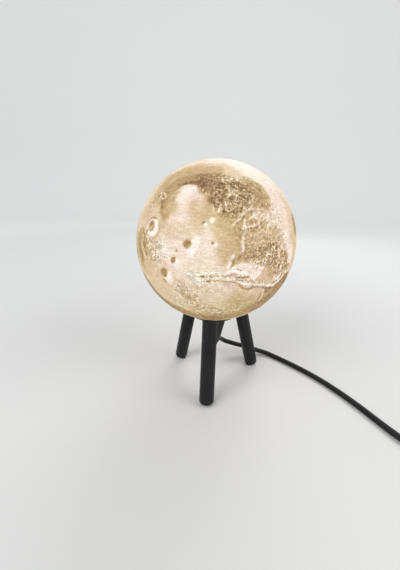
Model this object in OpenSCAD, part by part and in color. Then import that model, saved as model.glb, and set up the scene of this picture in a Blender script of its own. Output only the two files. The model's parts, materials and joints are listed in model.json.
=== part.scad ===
// Planet lamp: a lit globe that rests on a three-legged stand, with its lampholder,
// bulb, mains lead, in-line switch and plug.
// Millimetres. +Z is up. The origin is on the table, under the globe's centre,
// and the front leg points along -Y.

/* [Globe] */
// Radius of the globe's outer surface
globe_r = 80; // [76:1:90]
// Height of the globe's lowest point above the table
globe_lift = 80; // [76:1:100]
// Thickness of the globe's wall
globe_wall = 2.4; // [1.6:0.2:3.2]
// Radius of the opening at the globe's foot
mouth_r = 27; // [26:0.5:29]

/* [Relief] */
// Height of the great shield mountain above the globe's surface
shield_rise = 1.2; // [0.4:0.1:2]
// Radius of the great shield mountain's foot
shield_foot_r = 13; // [9:0.5:16]
// Radius of the crater on top of the great shield mountain
crater_r = 2.6; // [1.5:0.1:4]
// Half the width of the long canyon
canyon_r = 1.6; // [0.8:0.1:2.4]

/* [Hub] */
// Gap between the globe and what it rests on
seat_gap = 0.3; // [0.2:0.1:0.6]
// Thickness of the hub's dish
dish_t = 2; // [1.6:0.1:3]
// Thickness of the hub's arms and ears over the legs
arm_t = 5; // [4:0.2:7]
// Gap between the hub's neck and the globe's opening
neck_gap = 0.4; // [0.3:0.1:1]
// Thickness of the neck's wall
neck_t = 2.2; // [1.6:0.1:3]
// Height of the neck above the globe's lowest point
neck_h = 16; // [12:0.5:22]
// Height of the hub's flat seat above the globe's lowest point
seat_rise = 0.8; // [0.4:0.1:2]
// Thickness of the hub's flat seat
seat_t = 3; // [2.4:0.1:5]

/* [Legs] */
// Distance from the centre to where a leg's axis meets the table
foot_ring_r = 54.5; // [48:0.5:62]
// Lean of each leg from upright, in degrees
leg_lean = 13.9; // [10:0.1:17]
// Radius of a leg
leg_r = 7.7; // [6:0.1:9]
// Radius of the rounded edge at a leg's lower end
leg_tip_r = 3.8; // [2:0.1:4.5]
// Depth by which a leg's rounded end is cut flat for its pad
foot_cut = 1.2; // [0.8:0.1:1.6]
// Thickness of a foot pad
pad_t = 1.5; // [1:0.1:3]
// Radius of a foot pad
pad_r = 3.6; // [2.4:0.1:4]
// Radius of a leg screw's shank
leg_screw_r = 1.75; // [1.5:0.05:2.5]
// Length of a leg screw below its head
leg_screw_len = 24; // [16:1:40]
// Radius of a leg screw's head
leg_screw_head_r = 3.5; // [3:0.1:4.5]
// Depth of a leg screw's head below the globe's seat
leg_screw_sink = 1; // [0.8:0.1:1.5]

/* [Lampholder] */
// Radius of the conical cap at its top
cap_top_r = 14.6; // [14:0.1:17]
// Radius of the conical cap at its foot
cap_foot_r = 8.4; // [7.5:0.1:10]
// Height of the conical cap
cap_h = 27; // [24:0.5:34]
// Thickness of the cap's wall
cap_wall = 1.8; // [1.2:0.1:2.4]
// Height of the bevel round the cap's foot
cap_bevel = 1.2; // [0.6:0.1:2]
// Thickness of the cap's floor
cap_floor = 3; // [2:0.1:4]
// Depth by which the skirt screws into the cap
skirt_grip = 6; // [4:0.5:7]
// Outer radius of the skirt above the seat
skirt_r = 12.5; // [12.2:0.1:13.5]
// Outer radius of the skirt's threaded foot
skirt_foot_r = 11; // [10.8:0.1:11.4]
// Height of the skirt above the seat
skirt_h = 25.2; // [23:0.2:30]
// Thickness of the skirt's wall
skirt_wall = 1.4; // [1:0.1:1.6]
// Radius of the skirt's flange
flange_r = 15.2; // [14.5:0.1:16]
// Thickness of the skirt's flange
flange_t = 2.5; // [2:0.1:4]
// Opening left by the lip on top of the skirt
lip_r = 8.2; // [8:0.1:8.6]
// Thickness of that lip
lip_t = 1.5; // [1:0.1:2]
// Length of the screw sleeve
sleeve_len = 17.2; // [15:0.1:18]
// Thickness of the screw sleeve's metal
sleeve_t = 0.5; // [0.4:0.1:0.8]
// Radius of the terminal screws
terminal_r = 1.5; // [1.2:0.1:1.8]
// Distance of the terminal screws from the axis
terminal_at = 5; // [4.5:0.1:5.6]

/* [Bulb] */
// Radius of the bulb's screw cap over its thread
bulb_cap_r = 6.8; // [6.6:0.1:6.9]
// Length of the bulb's screw cap
bulb_cap_len = 16.4; // [15:0.1:20]
// Pitch of the cap's thread
thread_pitch = 2.8; // [2.4:0.1:3.2]
// Radius of the bulb's dome
dome_r = 20; // [19:0.5:23]
// Length of the bulb's body between its cap and the dome's centre
body_len = 38; // [34:1:44]
// Thickness of the dome
dome_wall = 1.2; // [0.8:0.1:2]
// Height of the dome's centre above its rim
dome_drop = 9; // [7:0.5:12]

/* [Cord] */
// Diameter of the cord
cord_d = 6; // [5:0.1:7]
// Radius of the bend in the strain relief
elbow_bend_r = 11; // [9:0.5:14]
// Angle of that bend, in degrees
elbow_turn = 72; // [60:1:90]
// Radius of the strain relief at the cap
elbow_r = 4.6; // [3.8:0.1:5]
// Length of the strain relief's tapered tail
elbow_tail = 10; // [8:0.5:20]
// Radius of the coil's innermost turn
coil_in_r = 25.4; // [24:0.1:28]
// Distance from one turn of the coil to the next
coil_pitch = 6.6; // [6.5:0.1:8]
// Turns in each layer of the coil
coil_turns = 3; // [2:1:4]
// Thickness of the tie round the coil
tie_t = 0.8; // [0.6:0.1:1.5]
// Width of the tie
tie_w = 9; // [6:0.5:14]

/* [Switch and plug] */
// Length of the switch's casing
switch_len = 60; // [54:1:70]
// Width of the switch's casing
switch_w = 26; // [25:0.5:32]
// Height of the switch's casing
switch_h = 16; // [15:0.5:20]
// Thickness of the switch's walls
switch_wall = 1.8; // [1.4:0.1:2.2]
// Radius of the rocker
rocker_r = 9.8; // [8.5:0.1:11]
// Width of the rocker
rocker_w = 10; // [8:0.5:12]
// Tilt of the rocker each way from level, in degrees
rocker_tilt = 8; // [5:0.5:10]
// Length of the plug's body
plug_len = 36; // [32:1:42]
// Width of the plug's body
plug_w = 35; // [32:0.5:38]
// Thickness of the plug's body
plug_t = 13.6; // [12:0.2:15]
// Radius of a plug pin
pin_r = 2; // [1.8:0.05:2.4]
// Length of a plug pin outside the body
pin_len = 19; // [17:0.5:20]
// Distance between the plug pins
pin_gap = 18.6; // [17:0.1:20]

/* [Hidden] */
$fn = 64;

// Directions of the legs round the globe, in degrees from +X
front_leg_at = -90;
left_leg_at = 150;
right_leg_at = 30;
LEG_ANGLES = [front_leg_at, left_leg_at, right_leg_at];

globe_z = globe_lift + globe_r;
globe_in_r = globe_r - globe_wall;
seat_in_r = globe_r + seat_gap;
dish_out_r = seat_in_r + dish_t;
arm_out_r = seat_in_r + arm_t;
neck_out_r = mouth_r - neck_gap;
neck_in_r = neck_out_r - neck_t;
seat_top = globe_lift + seat_rise;
seat_z = seat_top - seat_t;
big = 400;
skin = 0.05;

// Places on the globe: turn round +Z from +X, then height above the equator, in degrees
GREAT_SHIELD = [-126.1, 15.8];
SMALL_SHIELDS = [[-97.4, 7.1], [-106.9, -2.8], [-114.6, -12.1], [-84.3, 7.9]];
small_shield_rise = 0.8;
small_shield_foot_r = 6;
small_crater_r = 1.5;
// The canyon is an arc round an axis that leans from +Z by canyon_tilt, about the azimuth canyon_turn
canyon_turn = -123;
canyon_tilt = -17.1;
canyon_start = 31;
canyon_sweep = 55;
canyon_height = -1.7;
canyon_cut = 0.6;

leg_flat_r = leg_r - leg_tip_r;
// Distance along a leg's axis from the table to its lower end
leg_start = (pad_t - foot_cut + leg_flat_r * sin(leg_lean) + leg_tip_r) / cos(leg_lean) - leg_tip_r;
// Distance from the centre to the middle of a leg's flat foot
foot_flat_in = sqrt(max(0.1, 2 * leg_tip_r * foot_cut - foot_cut * foot_cut));
foot_low_r = foot_ring_r - (leg_start + leg_tip_r) * sin(leg_lean) - leg_flat_r * cos(leg_lean);
foot_flat_out = min(foot_cut / tan(leg_lean), 2 * leg_flat_r * cos(leg_lean));
pad_at = foot_low_r + (foot_flat_out - foot_flat_in) / 2;
leg_screw_head_h = leg_screw_head_r - leg_screw_r;
thread_gap = 0.05;

skirt_in_r = skirt_foot_r - skirt_wall;
skirt_hole_r = skirt_foot_r + 0.3;
skirt_top = seat_top + skirt_h;
ledge_z = seat_z - skirt_grip;
cap_z = seat_z - cap_h;
cap_bore_r = skirt_foot_r + 0.2;
insert_r = skirt_in_r - 0.2;
sleeve_in_r = bulb_cap_r + 0.3;
sleeve_out_r = sleeve_in_r + sleeve_t;
sleeve_top = skirt_top - lip_t - 0.3;
insert_top = sleeve_top - sleeve_len;
contact_t = 0.6;
contact_r = 3.5;
stem_r = 1.5;
plate_t = 0.8;
plate_w = 2 * terminal_r + 1.6;
terminal_head_r = terminal_r + 0.8;
terminal_head_h = 1.6;
terminal_len = 5;
wire_r = 1.1;
wire_z = cap_z + cap_floor + 3.4;
grip_r = 5.4;
relief_neck_r = elbow_r - 0.4;
relief_neck_top = cap_z + cap_floor + 3.2;

bulb_z = insert_top + contact_t + 0.3;
tip_h = 0.8;
insulator_h = 2;
bulb_cap_z = bulb_z + tip_h + insulator_h;
bulb_body_z = bulb_cap_z + bulb_cap_len;
dome_z = bulb_body_z + body_len;
dome_rim_r = sqrt(dome_r * dome_r - dome_drop * dome_drop);
dome_rim_z = dome_z - dome_drop;
bulb_collar_r = 7.9;
bulb_waist_r = 15.2;
bulb_waist_z = bulb_body_z + 17;
body_wall = 1.6;
board_t = 1.6;
board_z = dome_rim_z - board_t - 1;
board_rise = (board_z - bulb_waist_z) / (dome_rim_z - bulb_waist_z);
board_r = bulb_waist_r + (dome_rim_r - bulb_waist_r) * board_rise - body_wall - 0.4;
LED_COUNT = 8;

// Elbow: it leaves the cap straight down and turns towards the back
elbow_at = 82;
elbow_end_r = cord_d / 2 + 0.6;
elbow_reach = elbow_bend_r * (1 - cos(elbow_turn)) + elbow_tail * sin(elbow_turn);
cord_exit = [
  elbow_reach * cos(elbow_at),
  elbow_reach * sin(elbow_at),
  cap_z - elbow_bend_r * sin(elbow_turn) - elbow_tail * cos(elbow_turn)
];
cord_exit_way = [
  sin(elbow_turn) * cos(elbow_at),
  sin(elbow_turn) * sin(elbow_at),
  -cos(elbow_turn)
];

// In-line switch: the middle of its casing on the table, and the way the cord runs through it
SWITCH_AT = [231.5, -87, 0];
switch_yaw = -10;
switch_way = [cos(switch_yaw), sin(switch_yaw), 0];
switch_cord_z = 7;
switch_split = 7.4;
switch_end_w = 16;
switch_taper = 12;
rocker_z = 12.2;
rocker_top = 4.6;
rocker_dip = 1.4;
rocker_foot = 4.4;
pivot_r = 1;
pivot_gap = 0.05;
pivot_len = 1.6;
rocker_gap = 0.4;
switch_screw_r = 1.25;
switch_screw_at = [15, 9];
switch_boss_r = 2.6;
switch_screw_head_r = 2.3;
switch_screw_head_h = 1.4;

// Coil: two layers, wound inwards below and outwards above, with the climb at the middle
COIL_AT = [312.2, -55.3, 0];
coil_start = -100;
coil_sides = 6;
coil_steps = 24;
coil_all_turns = 2 * coil_turns + 0.25;
coil_out_r = coil_in_r + coil_turns * coil_pitch;
coil_tie_at = 170;
coil_z = cord_d / 2 + 0.05;
tie_gap = 0.3;

// Plug: where the cord goes in, and the way it lies
plug_yaw = coil_start + 360 * coil_all_turns + 90;
plug_relief = 18;
plug_end_w = 18;
plug_shoulder = 20;
plug_bevel = 2;
tail_len = 34;
sleeve_pin_len = 10;

// Places that the cord passes on its way from the strain relief to the switch
CORD_PATH = [
  [5.9, 31.5, 30.2],
  [11.3, 38.5, 23.3],
  [19.1, 43.4, 18.3],
  [28.4, 46, 14.8],
  [37.6, 47.8, 12],
  [47.1, 49.4, 8.6],
  [57.5, 50.2, 5.5],
  [68.8, 48.1, 3.8],
  [79, 42.2, 3.05],
  [91.5, 33, 3.05],
  [104, 23, 3.05],
  [117.5, 11, 3.05],
  [130.5, -2.6, 3.05],
  [143, -18, 3.05],
  [154.5, -34.5, 3.05],
  [165, -51.5, 3.05],
  [173.9, -66, 3.5],
  [179.6, -72.9, 4.5],
  [187, -77.9, 5.8]
];

// Unit vector along v
function unit(v) = v / norm(v);

// Points of a smooth curve through pts, with a given number of steps between neighbours
function smooth_path(pts, steps) = [
  for (i = [0 : len(pts) - 2])
    for (k = [0 : steps - 1])
      let (
        t = k / steps,
        a = pts[max(i - 1, 0)],
        b = pts[i],
        c = pts[i + 1],
        d = pts[min(i + 2, len(pts) - 1)]
      )
      0.5 * (2 * b + (c - a) * t + (2 * a - 5 * b + 4 * c - d) * t * t
        + (3 * b - a - 3 * c + d) * t * t * t),
  pts[len(pts) - 1]
];

// Direction of travel at point i of a path
function way_at(path, i) = unit(path[min(i + 1, len(path) - 1)] - path[max(i - 1, 0)]);

// One ring of a tube round centre c, square to the direction w
function tube_ring(c, w, r, sides) =
  let (side = unit(cross(w, [0, 0, 1])), top = cross(side, w))
  [for (k = [0 : sides - 1]) c + r * (cos(360 * k / sides) * side + sin(360 * k / sides) * top)];

// A closed tube of radius r along a path
module tube_along(path, r, sides) {
  count = len(path);
  last = (count - 1) * sides;
  points = [for (i = [0 : count - 1]) each tube_ring(path[i], way_at(path, i), r, sides)];
  walls = [
    for (i = [0 : count - 2])
      for (k = [0 : sides - 1])
        let (a = i * sides + k, b = i * sides + (k + 1) % sides)
        each [[a, b, b + sides], [a, b + sides, a + sides]]
  ];
  foot = [for (k = [1 : sides - 2]) [0, k + 1, k]];
  top = [for (k = [1 : sides - 2]) [last, last + k, last + k + 1]];
  polyhedron(points = points, faces = concat(walls, foot, top), convexity = 10);
}

// Place of the coil's centre line after u turns
function coil_point(u) =
  let (
    climb = min(max((u - coil_turns) / 0.5, 0), 1),
    w = climb * 0.5,
    r = u <= coil_turns ? coil_out_r - coil_pitch * u
      : u >= coil_turns + 0.5 ? coil_in_r + coil_pitch * (u - coil_turns - 0.5)
      : coil_in_r - coil_pitch * w + 2 * coil_pitch * w * w,
    a = coil_start + 360 * u,
    bump = (tie_t + tie_gap) * pow(max(0, cos(a - coil_tie_at)), 8),
    z = coil_z + bump + coil_pitch * climb * climb * (3 - 2 * climb)
  )
  [COIL_AT[0] + r * cos(a), COIL_AT[1] + r * sin(a), z];

coil_count = round(coil_all_turns * coil_steps);
coil_turn_points = [for (i = [0 : coil_count]) coil_point(coil_all_turns * i / coil_count)];
coil_in_way = unit(coil_turn_points[1] - coil_turn_points[0]);
coil_out_way = unit(coil_turn_points[coil_count] - coil_turn_points[coil_count - 1]);
coil_in_end = coil_turn_points[0] - cord_d * coil_in_way;
coil_out_end = coil_turn_points[coil_count] + cord_d * coil_out_way;
COIL_PATH = concat([coil_in_end], coil_turn_points, [coil_out_end]);
// The least gap between parts of the coil at least half a turn apart along it
coil_gap = min([
  for (i = [0 : coil_count])
    for (j = [i + coil_steps / 2 : 1 : coil_count])
      norm(coil_turn_points[i] - coil_turn_points[j])
]) - cord_d;
echo(coil_gap = coil_gap);

switch_in = SWITCH_AT + [0, 0, switch_cord_z] - switch_way * switch_len / 2;
switch_out = SWITCH_AT + [0, 0, switch_cord_z] + switch_way * switch_len / 2;
RUN_PATH = concat(
  [cord_exit, cord_exit + cord_d * cord_exit_way],
  smooth_path(CORD_PATH, 2),
  [switch_in - cord_d * switch_way, switch_in]
);
lead_gap = coil_in_end - switch_out;
LEAD_PATH = concat(
  [switch_out, switch_out + cord_d * switch_way],
  [for (t = [0.4, 0.7]) switch_out + t * lead_gap + [0, 0, t == 0.4 ? 1 : -0.2]],
  [coil_in_end - 2 * coil_in_way, coil_in_end]
);
plug_way = [cos(plug_yaw), sin(plug_yaw), 0];
plug_at = [
  coil_out_end[0] + tail_len * plug_way[0],
  coil_out_end[1] + tail_len * plug_way[1],
  plug_t / 2
];
TAIL_PATH = [
  coil_out_end,
  coil_out_end + 3 * coil_out_way,
  coil_out_end + 0.5 * (plug_at - coil_out_end),
  plug_at - cord_d * plug_way,
  plug_at
];

// Distance along a leg's axis from the table to a sphere of radius r round the globe's centre
function axis_hit(r) =
  let (along = foot_ring_r * sin(leg_lean) + globe_z * cos(leg_lean))
  along - sqrt(along * along - foot_ring_r * foot_ring_r - globe_z * globe_z + r * r);

// Puts its children on a leg's axis: +Z runs up the leg from the table
module on_leg(angle) {
  rotate([0, 0, angle])
    translate([foot_ring_r, 0, 0])
      rotate([0, -leg_lean, 0])
        children();
}

// Puts its children at a place on the globe: +Z points outwards from its centre
module on_globe(place) {
  translate([0, 0, globe_z])
    rotate([0, 0, place[0]])
      rotate([0, 90 - place[1], 0])
        children();
}

// A ball that stands out of the globe by rise over a foot of radius foot_r
module relief_dome(rise, foot_r) {
  ball_r = (foot_r * foot_r + rise * rise) / (2 * rise);
  translate([0, 0, globe_r + rise - ball_r])
    intersection() {
      sphere(ball_r, $fn = 96);
      translate([0, 0, ball_r - 2 * rise])
        cylinder(h = 3 * rise, r = 2 * foot_r);
    }
}

module globe_shell() {
  color([0.93, 0.84, 0.7])
    difference() {
      union() {
        translate([0, 0, globe_z])
          sphere(globe_r, $fn = 128);
        on_globe(GREAT_SHIELD)
          relief_dome(shield_rise, shield_foot_r);
        for (place = SMALL_SHIELDS)
          on_globe(place)
            relief_dome(small_shield_rise, small_shield_foot_r);
      }
      translate([0, 0, globe_z])
        sphere(globe_in_r, $fn = 128);
      translate([0, 0, globe_lift - 10])
        cylinder(h = 30, r = mouth_r);
      on_globe(GREAT_SHIELD)
        translate([0, 0, globe_r + shield_rise - 0.8])
          cylinder(h = 5, r = crater_r);
      for (place = SMALL_SHIELDS)
        on_globe(place)
          translate([0, 0, globe_r + small_shield_rise - 0.5])
            cylinder(h = 5, r = small_crater_r);
      translate([0, 0, globe_z])
        rotate([canyon_tilt, 0, canyon_turn])
          rotate([0, 0, canyon_start])
            translate([0, 0, globe_r * sin(canyon_height)])
              rotate_extrude(angle = canyon_sweep, $fn = 128)
                translate([globe_r * cos(canyon_height) + canyon_r - canyon_cut, 0])
                  circle(canyon_r, $fn = 24);
    }
}

module hub_arms() {
  for (angle = LEG_ANGLES) {
    rotate([0, 0, angle])
      translate([0, -leg_r, 0])
        cube([foot_ring_r - globe_lift * tan(leg_lean), 2 * leg_r, globe_z]);
    on_leg(angle)
      cylinder(h = globe_z, r = leg_r);
  }
}

module stand_hub() {
  color([0.06, 0.06, 0.065])
    difference() {
      union() {
        intersection() {
          translate([0, 0, globe_z])
            sphere(dish_out_r, $fn = 128);
          cylinder(h = globe_lift + neck_h, r = neck_out_r);
        }
        intersection() {
          translate([0, 0, globe_z])
            sphere(arm_out_r, $fn = 128);
          hub_arms();
          cylinder(h = globe_lift + neck_h, r = foot_ring_r);
        }
        translate([0, 0, seat_z])
          cylinder(h = seat_t, r = flange_r + 0.8);
      }
      difference() {
        translate([0, 0, globe_z])
          sphere(seat_in_r, $fn = 128);
        difference() {
          cylinder(h = globe_lift + neck_h, r = neck_out_r);
          translate([0, 0, seat_top])
            cylinder(h = big, r = neck_in_r);
        }
        translate([0, 0, seat_z])
          cylinder(h = seat_t, r = flange_r + 0.8);
      }
      translate([0, 0, seat_top])
        cylinder(h = neck_h, r = flange_r + 0.4);
      translate([0, 0, seat_z - 20])
        cylinder(h = 20, r = cap_top_r + 0.6);
      cylinder(h = big, r = skirt_hole_r);
      for (angle = LEG_ANGLES)
        on_leg(angle)
          leg_screw_hole();
    }
}

// Room for a leg's screw, from the globe's seat down into the leg
module leg_screw_hole() {
  head_top = axis_hit(seat_in_r) - leg_screw_sink;
  translate([0, 0, head_top - leg_screw_head_h - leg_screw_len - 1])
    cylinder(h = leg_screw_len + leg_screw_head_h + 1, r = leg_screw_r + thread_gap);
  translate([0, 0, head_top - leg_screw_head_h])
    cylinder(h = leg_screw_head_h, r1 = leg_screw_r + thread_gap, r2 = leg_screw_head_r + thread_gap);
  translate([0, 0, head_top])
    cylinder(h = 8, r = leg_screw_head_r + thread_gap);
}

module leg(angle) {
  color([0.05, 0.05, 0.055])
    difference() {
      on_leg(angle)
        translate([0, 0, leg_start])
          rotate_extrude() {
            translate([0, leg_tip_r])
              square([leg_r, axis_hit(arm_out_r) + 8]);
            square([leg_flat_r, leg_tip_r]);
            intersection() {
              translate([leg_flat_r, leg_tip_r])
                circle(leg_tip_r);
              translate([leg_flat_r - 0.01, 0])
                square([leg_tip_r + 0.01, leg_tip_r + 0.01]);
            }
          }
      translate([0, 0, globe_z])
        sphere(arm_out_r, $fn = 128);
      translate([-big / 2, -big / 2, pad_t - big])
        cube([big, big, big]);
      on_leg(angle)
        leg_screw_hole();
    }
}

module leg_front() {
  leg(front_leg_at);
}

module leg_left() {
  leg(left_leg_at);
}

module leg_right() {
  leg(right_leg_at);
}

module foot_pads() {
  color([0.1, 0.1, 0.1])
    for (angle = LEG_ANGLES)
      rotate([0, 0, angle])
        translate([pad_at, 0, 0])
          cylinder(h = pad_t, r = pad_r);
}

module leg_screws() {
  head_top = axis_hit(seat_in_r) - leg_screw_sink;
  color([0.6, 0.6, 0.62])
    for (angle = LEG_ANGLES)
      on_leg(angle)
        difference() {
          union() {
            translate([0, 0, head_top - leg_screw_head_h - leg_screw_len])
              cylinder(h = leg_screw_len + 0.01, r = leg_screw_r);
            translate([0, 0, head_top - leg_screw_head_h])
              cylinder(h = leg_screw_head_h, r1 = leg_screw_r, r2 = leg_screw_head_r);
          }
          for (turn = [0, 90])
            rotate([0, 0, turn])
              translate([-leg_screw_head_r * 0.55, -0.45, head_top - 1.1])
                cube([leg_screw_head_r * 1.1, 0.9, 2]);
        }
}

module holder_cap() {
  room_top_r = insert_r - 0.8;
  color([0.05, 0.05, 0.055])
    rotate_extrude()
      polygon([
        [relief_neck_r + skin, cap_z],
        [cap_foot_r - cap_bevel, cap_z],
        [cap_foot_r, cap_z + cap_bevel],
        [cap_top_r, seat_z],
        [cap_bore_r, seat_z],
        [cap_bore_r, ledge_z],
        [room_top_r, ledge_z],
        [cap_foot_r - cap_wall, cap_z + cap_floor],
        [relief_neck_r + skin, cap_z + cap_floor]
      ]);
}

module holder_skirt() {
  color([0.08, 0.08, 0.085])
    rotate_extrude()
      polygon([
        [skirt_in_r, ledge_z + 0.3],
        [skirt_foot_r, ledge_z + 0.3],
        [skirt_foot_r, seat_top],
        [flange_r, seat_top],
        [flange_r, seat_top + flange_t],
        [skirt_r, seat_top + flange_t],
        [skirt_r, skirt_top],
        [lip_r, skirt_top],
        [lip_r, skirt_top - lip_t],
        [skirt_in_r, skirt_top - lip_t]
      ]);
}

module holder_insert() {
  color([0.9, 0.88, 0.82])
    difference() {
      translate([0, 0, ledge_z])
        cylinder(h = insert_top - ledge_z, r = insert_r);
      cylinder(h = big, r = stem_r + skin);
      translate([-plate_w / 2 - 0.2, -insert_r, 0])
        cube([plate_w + 0.4, insert_r - sleeve_in_r + 0.1, big]);
      for (side = [-1, 1])
        translate([0, side * terminal_at, 0])
          cylinder(h = ledge_z + terminal_len, r = terminal_r + skin);
    }
}

module screw_sleeve() {
  strip_out = sleeve_out_r + 0.3;
  color([0.8, 0.62, 0.3]) {
    difference() {
      union() {
        translate([0, 0, insert_top])
          cylinder(h = sleeve_len, r = sleeve_out_r);
        translate([0, 0, sleeve_top - sleeve_t])
          cylinder(h = sleeve_t, r = skirt_in_r - 0.3);
        translate([-plate_w / 2, -strip_out, ledge_z - plate_t])
          cube([plate_w, strip_out - sleeve_in_r, insert_top - ledge_z + plate_t + 2]);
      }
      translate([0, 0, insert_top])
        cylinder(h = big, r = sleeve_in_r);
    }
    difference() {
      translate([-plate_w / 2, -strip_out, ledge_z - plate_t])
        cube([plate_w, strip_out - 2.6, plate_t]);
      translate([0, -terminal_at, 0])
        cylinder(h = big, r = terminal_r + skin);
    }
  }
}

module centre_contact() {
  color([0.85, 0.66, 0.35])
    difference() {
      union() {
        translate([0, 0, insert_top])
          cylinder(h = contact_t, r = contact_r);
        translate([0, 0, ledge_z - plate_t])
          cylinder(h = insert_top - ledge_z + plate_t + 0.1, r = stem_r);
        translate([-plate_w / 2, 0, ledge_z - plate_t])
          cube([plate_w, terminal_at + 2.4, plate_t]);
      }
      translate([0, terminal_at, 0])
        cylinder(h = big, r = terminal_r + skin);
    }
}

module terminal_screws() {
  head_top = ledge_z - plate_t;
  color([0.75, 0.75, 0.76])
    for (side = [-1, 1])
      translate([0, side * terminal_at, 0])
        difference() {
          union() {
            translate([0, 0, head_top - 0.1])
              cylinder(h = terminal_len + plate_t, r = terminal_r);
            translate([0, 0, head_top - terminal_head_h])
              cylinder(h = terminal_head_h, r = terminal_head_r);
          }
          translate([-terminal_head_r, -0.3, head_top - terminal_head_h - 1])
            cube([2 * terminal_head_r, 0.6, 1.7]);
        }
}

// One bare conductor from the cord's end up to its terminal
module wire(side) {
  low = [0, side * (wire_r + 0.3), wire_z];
  high = [0, side * terminal_at, ledge_z - plate_t - terminal_head_h - 0.2];
  rise = high - low;
  translate(low)
    rotate([-side * atan2(abs(rise[1]), rise[2]), 0, 0])
      cylinder(h = norm(rise) - 0.3, r = wire_r);
}

module live_wire() {
  color([0.45, 0.28, 0.16])
    wire(1);
}

module neutral_wire() {
  color([0.2, 0.35, 0.7])
    wire(-1);
}

module cord_grip() {
  floor_z = cap_z + cap_floor;
  color([0.16, 0.16, 0.17])
    difference() {
      translate([0, 0, floor_z])
        cylinder(h = relief_neck_top - floor_z, r = grip_r);
      cylinder(h = big, r = relief_neck_r + skin);
    }
}

module strain_relief() {
  color([0.07, 0.07, 0.075])
    rotate([0, 0, elbow_at]) {
      translate([0, 0, cap_z - 0.5])
        cylinder(h = relief_neck_top - cap_z + 0.5, r = relief_neck_r);
      translate([elbow_bend_r, 0, cap_z])
        rotate([-90, 0, 0])
          rotate([0, 0, 180 - elbow_turn])
            rotate_extrude(angle = elbow_turn)
              translate([elbow_bend_r, 0])
                circle(elbow_r);
      translate([
        elbow_bend_r * (1 - cos(elbow_turn)),
        0,
        cap_z - elbow_bend_r * sin(elbow_turn)
      ])
        rotate([0, 180 - elbow_turn, 0])
          translate([0, 0, -0.5])
            cylinder(h = elbow_tail + 0.5, r1 = elbow_r - skin, r2 = elbow_end_r);
    }
}

// The ringed outline of a screw cap, from its foot up
module bulb_cap() {
  groove_r = 0.9;
  rings = floor((bulb_cap_len - 2) / thread_pitch);
  color([0.78, 0.78, 0.8])
    difference() {
      translate([0, 0, bulb_cap_z])
        cylinder(h = bulb_cap_len, r = bulb_cap_r);
      translate([0, 0, bulb_cap_z + 1])
        cylinder(h = bulb_cap_len, r = bulb_cap_r - 1.2);
      for (i = [1 : rings])
        translate([0, 0, bulb_cap_z + i * thread_pitch - 0.6])
          rotate_extrude()
            translate([bulb_cap_r + groove_r * 0.4, 0])
              circle(groove_r, $fn = 24);
    }
}

module bulb_insulator() {
  color([0.06, 0.06, 0.06])
    translate([0, 0, bulb_z + tip_h])
      cylinder(h = insulator_h, r1 = 3.4, r2 = bulb_cap_r - 0.6);
}

module bulb_tip() {
  color([0.75, 0.75, 0.77])
    translate([0, 0, bulb_z])
      cylinder(h = tip_h, r1 = 1.8, r2 = 2.4);
}

module bulb_body() {
  color([0.92, 0.92, 0.9])
    rotate_extrude()
      polygon([
        [0, bulb_body_z],
        [bulb_collar_r, bulb_body_z],
        [bulb_collar_r, bulb_body_z + 3],
        [10.4, bulb_body_z + 9],
        [bulb_waist_r, bulb_waist_z],
        [dome_rim_r, dome_rim_z],
        [dome_rim_r - body_wall, dome_rim_z],
        [bulb_waist_r - body_wall, bulb_waist_z],
        [9, bulb_body_z + 10],
        [0, bulb_body_z + 10]
      ]);
}

module bulb_dome() {
  color([0.97, 0.95, 0.9])
    difference() {
      translate([0, 0, dome_z])
        sphere(dome_r, $fn = 96);
      translate([0, 0, dome_z])
        sphere(dome_r - dome_wall, $fn = 96);
      translate([-big / 2, -big / 2, dome_rim_z - big])
        cube([big, big, big]);
    }
}

module led_board() {
  color([0.95, 0.95, 0.92]) {
    difference() {
      translate([0, 0, board_z])
        cylinder(h = board_t, r = board_r);
      translate([0, 0, board_z - 1])
        cylinder(h = board_t + 2, r = 2);
    }
    for (i = [0 : LED_COUNT - 1])
      rotate([0, 0, 360 * i / LED_COUNT])
        translate([board_r * 0.62 - 1.4, -1.4, dome_rim_z - 1.1])
          cube([2.8, 2.8, 0.9]);
  }
}

module cord_run() {
  color([0.07, 0.07, 0.075])
    tube_along(RUN_PATH, cord_d / 2, 8);
}

module cord_lead() {
  color([0.07, 0.07, 0.075])
    tube_along(LEAD_PATH, cord_d / 2, 8);
}

module cord_coil() {
  color([0.07, 0.07, 0.075])
    tube_along(COIL_PATH, cord_d / 2, coil_sides);
}

module cord_tail() {
  color([0.07, 0.07, 0.075])
    tube_along(TAIL_PATH, cord_d / 2, 8);
}

// A rectangle with round corners, from its lower left corner
module round_slab(w, h, r) {
  translate([r, 0])
    square([w - 2 * r, h]);
  translate([0, r])
    square([w, h - 2 * r]);
  for (x = [r, w - r])
    for (y = [r, h - r])
      translate([x, y])
        circle(r, $fn = 32);
}

module coil_tie() {
  turns_past = ((coil_tie_at - coil_start) % 360) / 360;
  far = coil_out_r - coil_pitch * turns_past + cord_d / 2 + tie_gap;
  inner_r = coil_out_r - coil_pitch * (turns_past + coil_turns - 1);
  near = sqrt(inner_r * inner_r - tie_w * tie_w / 4) - cord_d / 2 - 2 * tie_gap;
  inside_h = cord_d + coil_pitch + coil_z - cord_d / 2 + 2 * tie_gap;
  color([0.1, 0.1, 0.1])
    translate([COIL_AT[0], COIL_AT[1], 0])
      rotate([0, 0, coil_tie_at])
        translate([near - tie_t, tie_w / 2, 0])
          rotate([90, 0, 0])
            linear_extrude(tie_w)
              difference() {
                round_slab(far - near + 2 * tie_t, inside_h + 2 * tie_t, 2.6);
                translate([tie_t, tie_t])
                  round_slab(far - near, inside_h, 1.8);
              }
}

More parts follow.
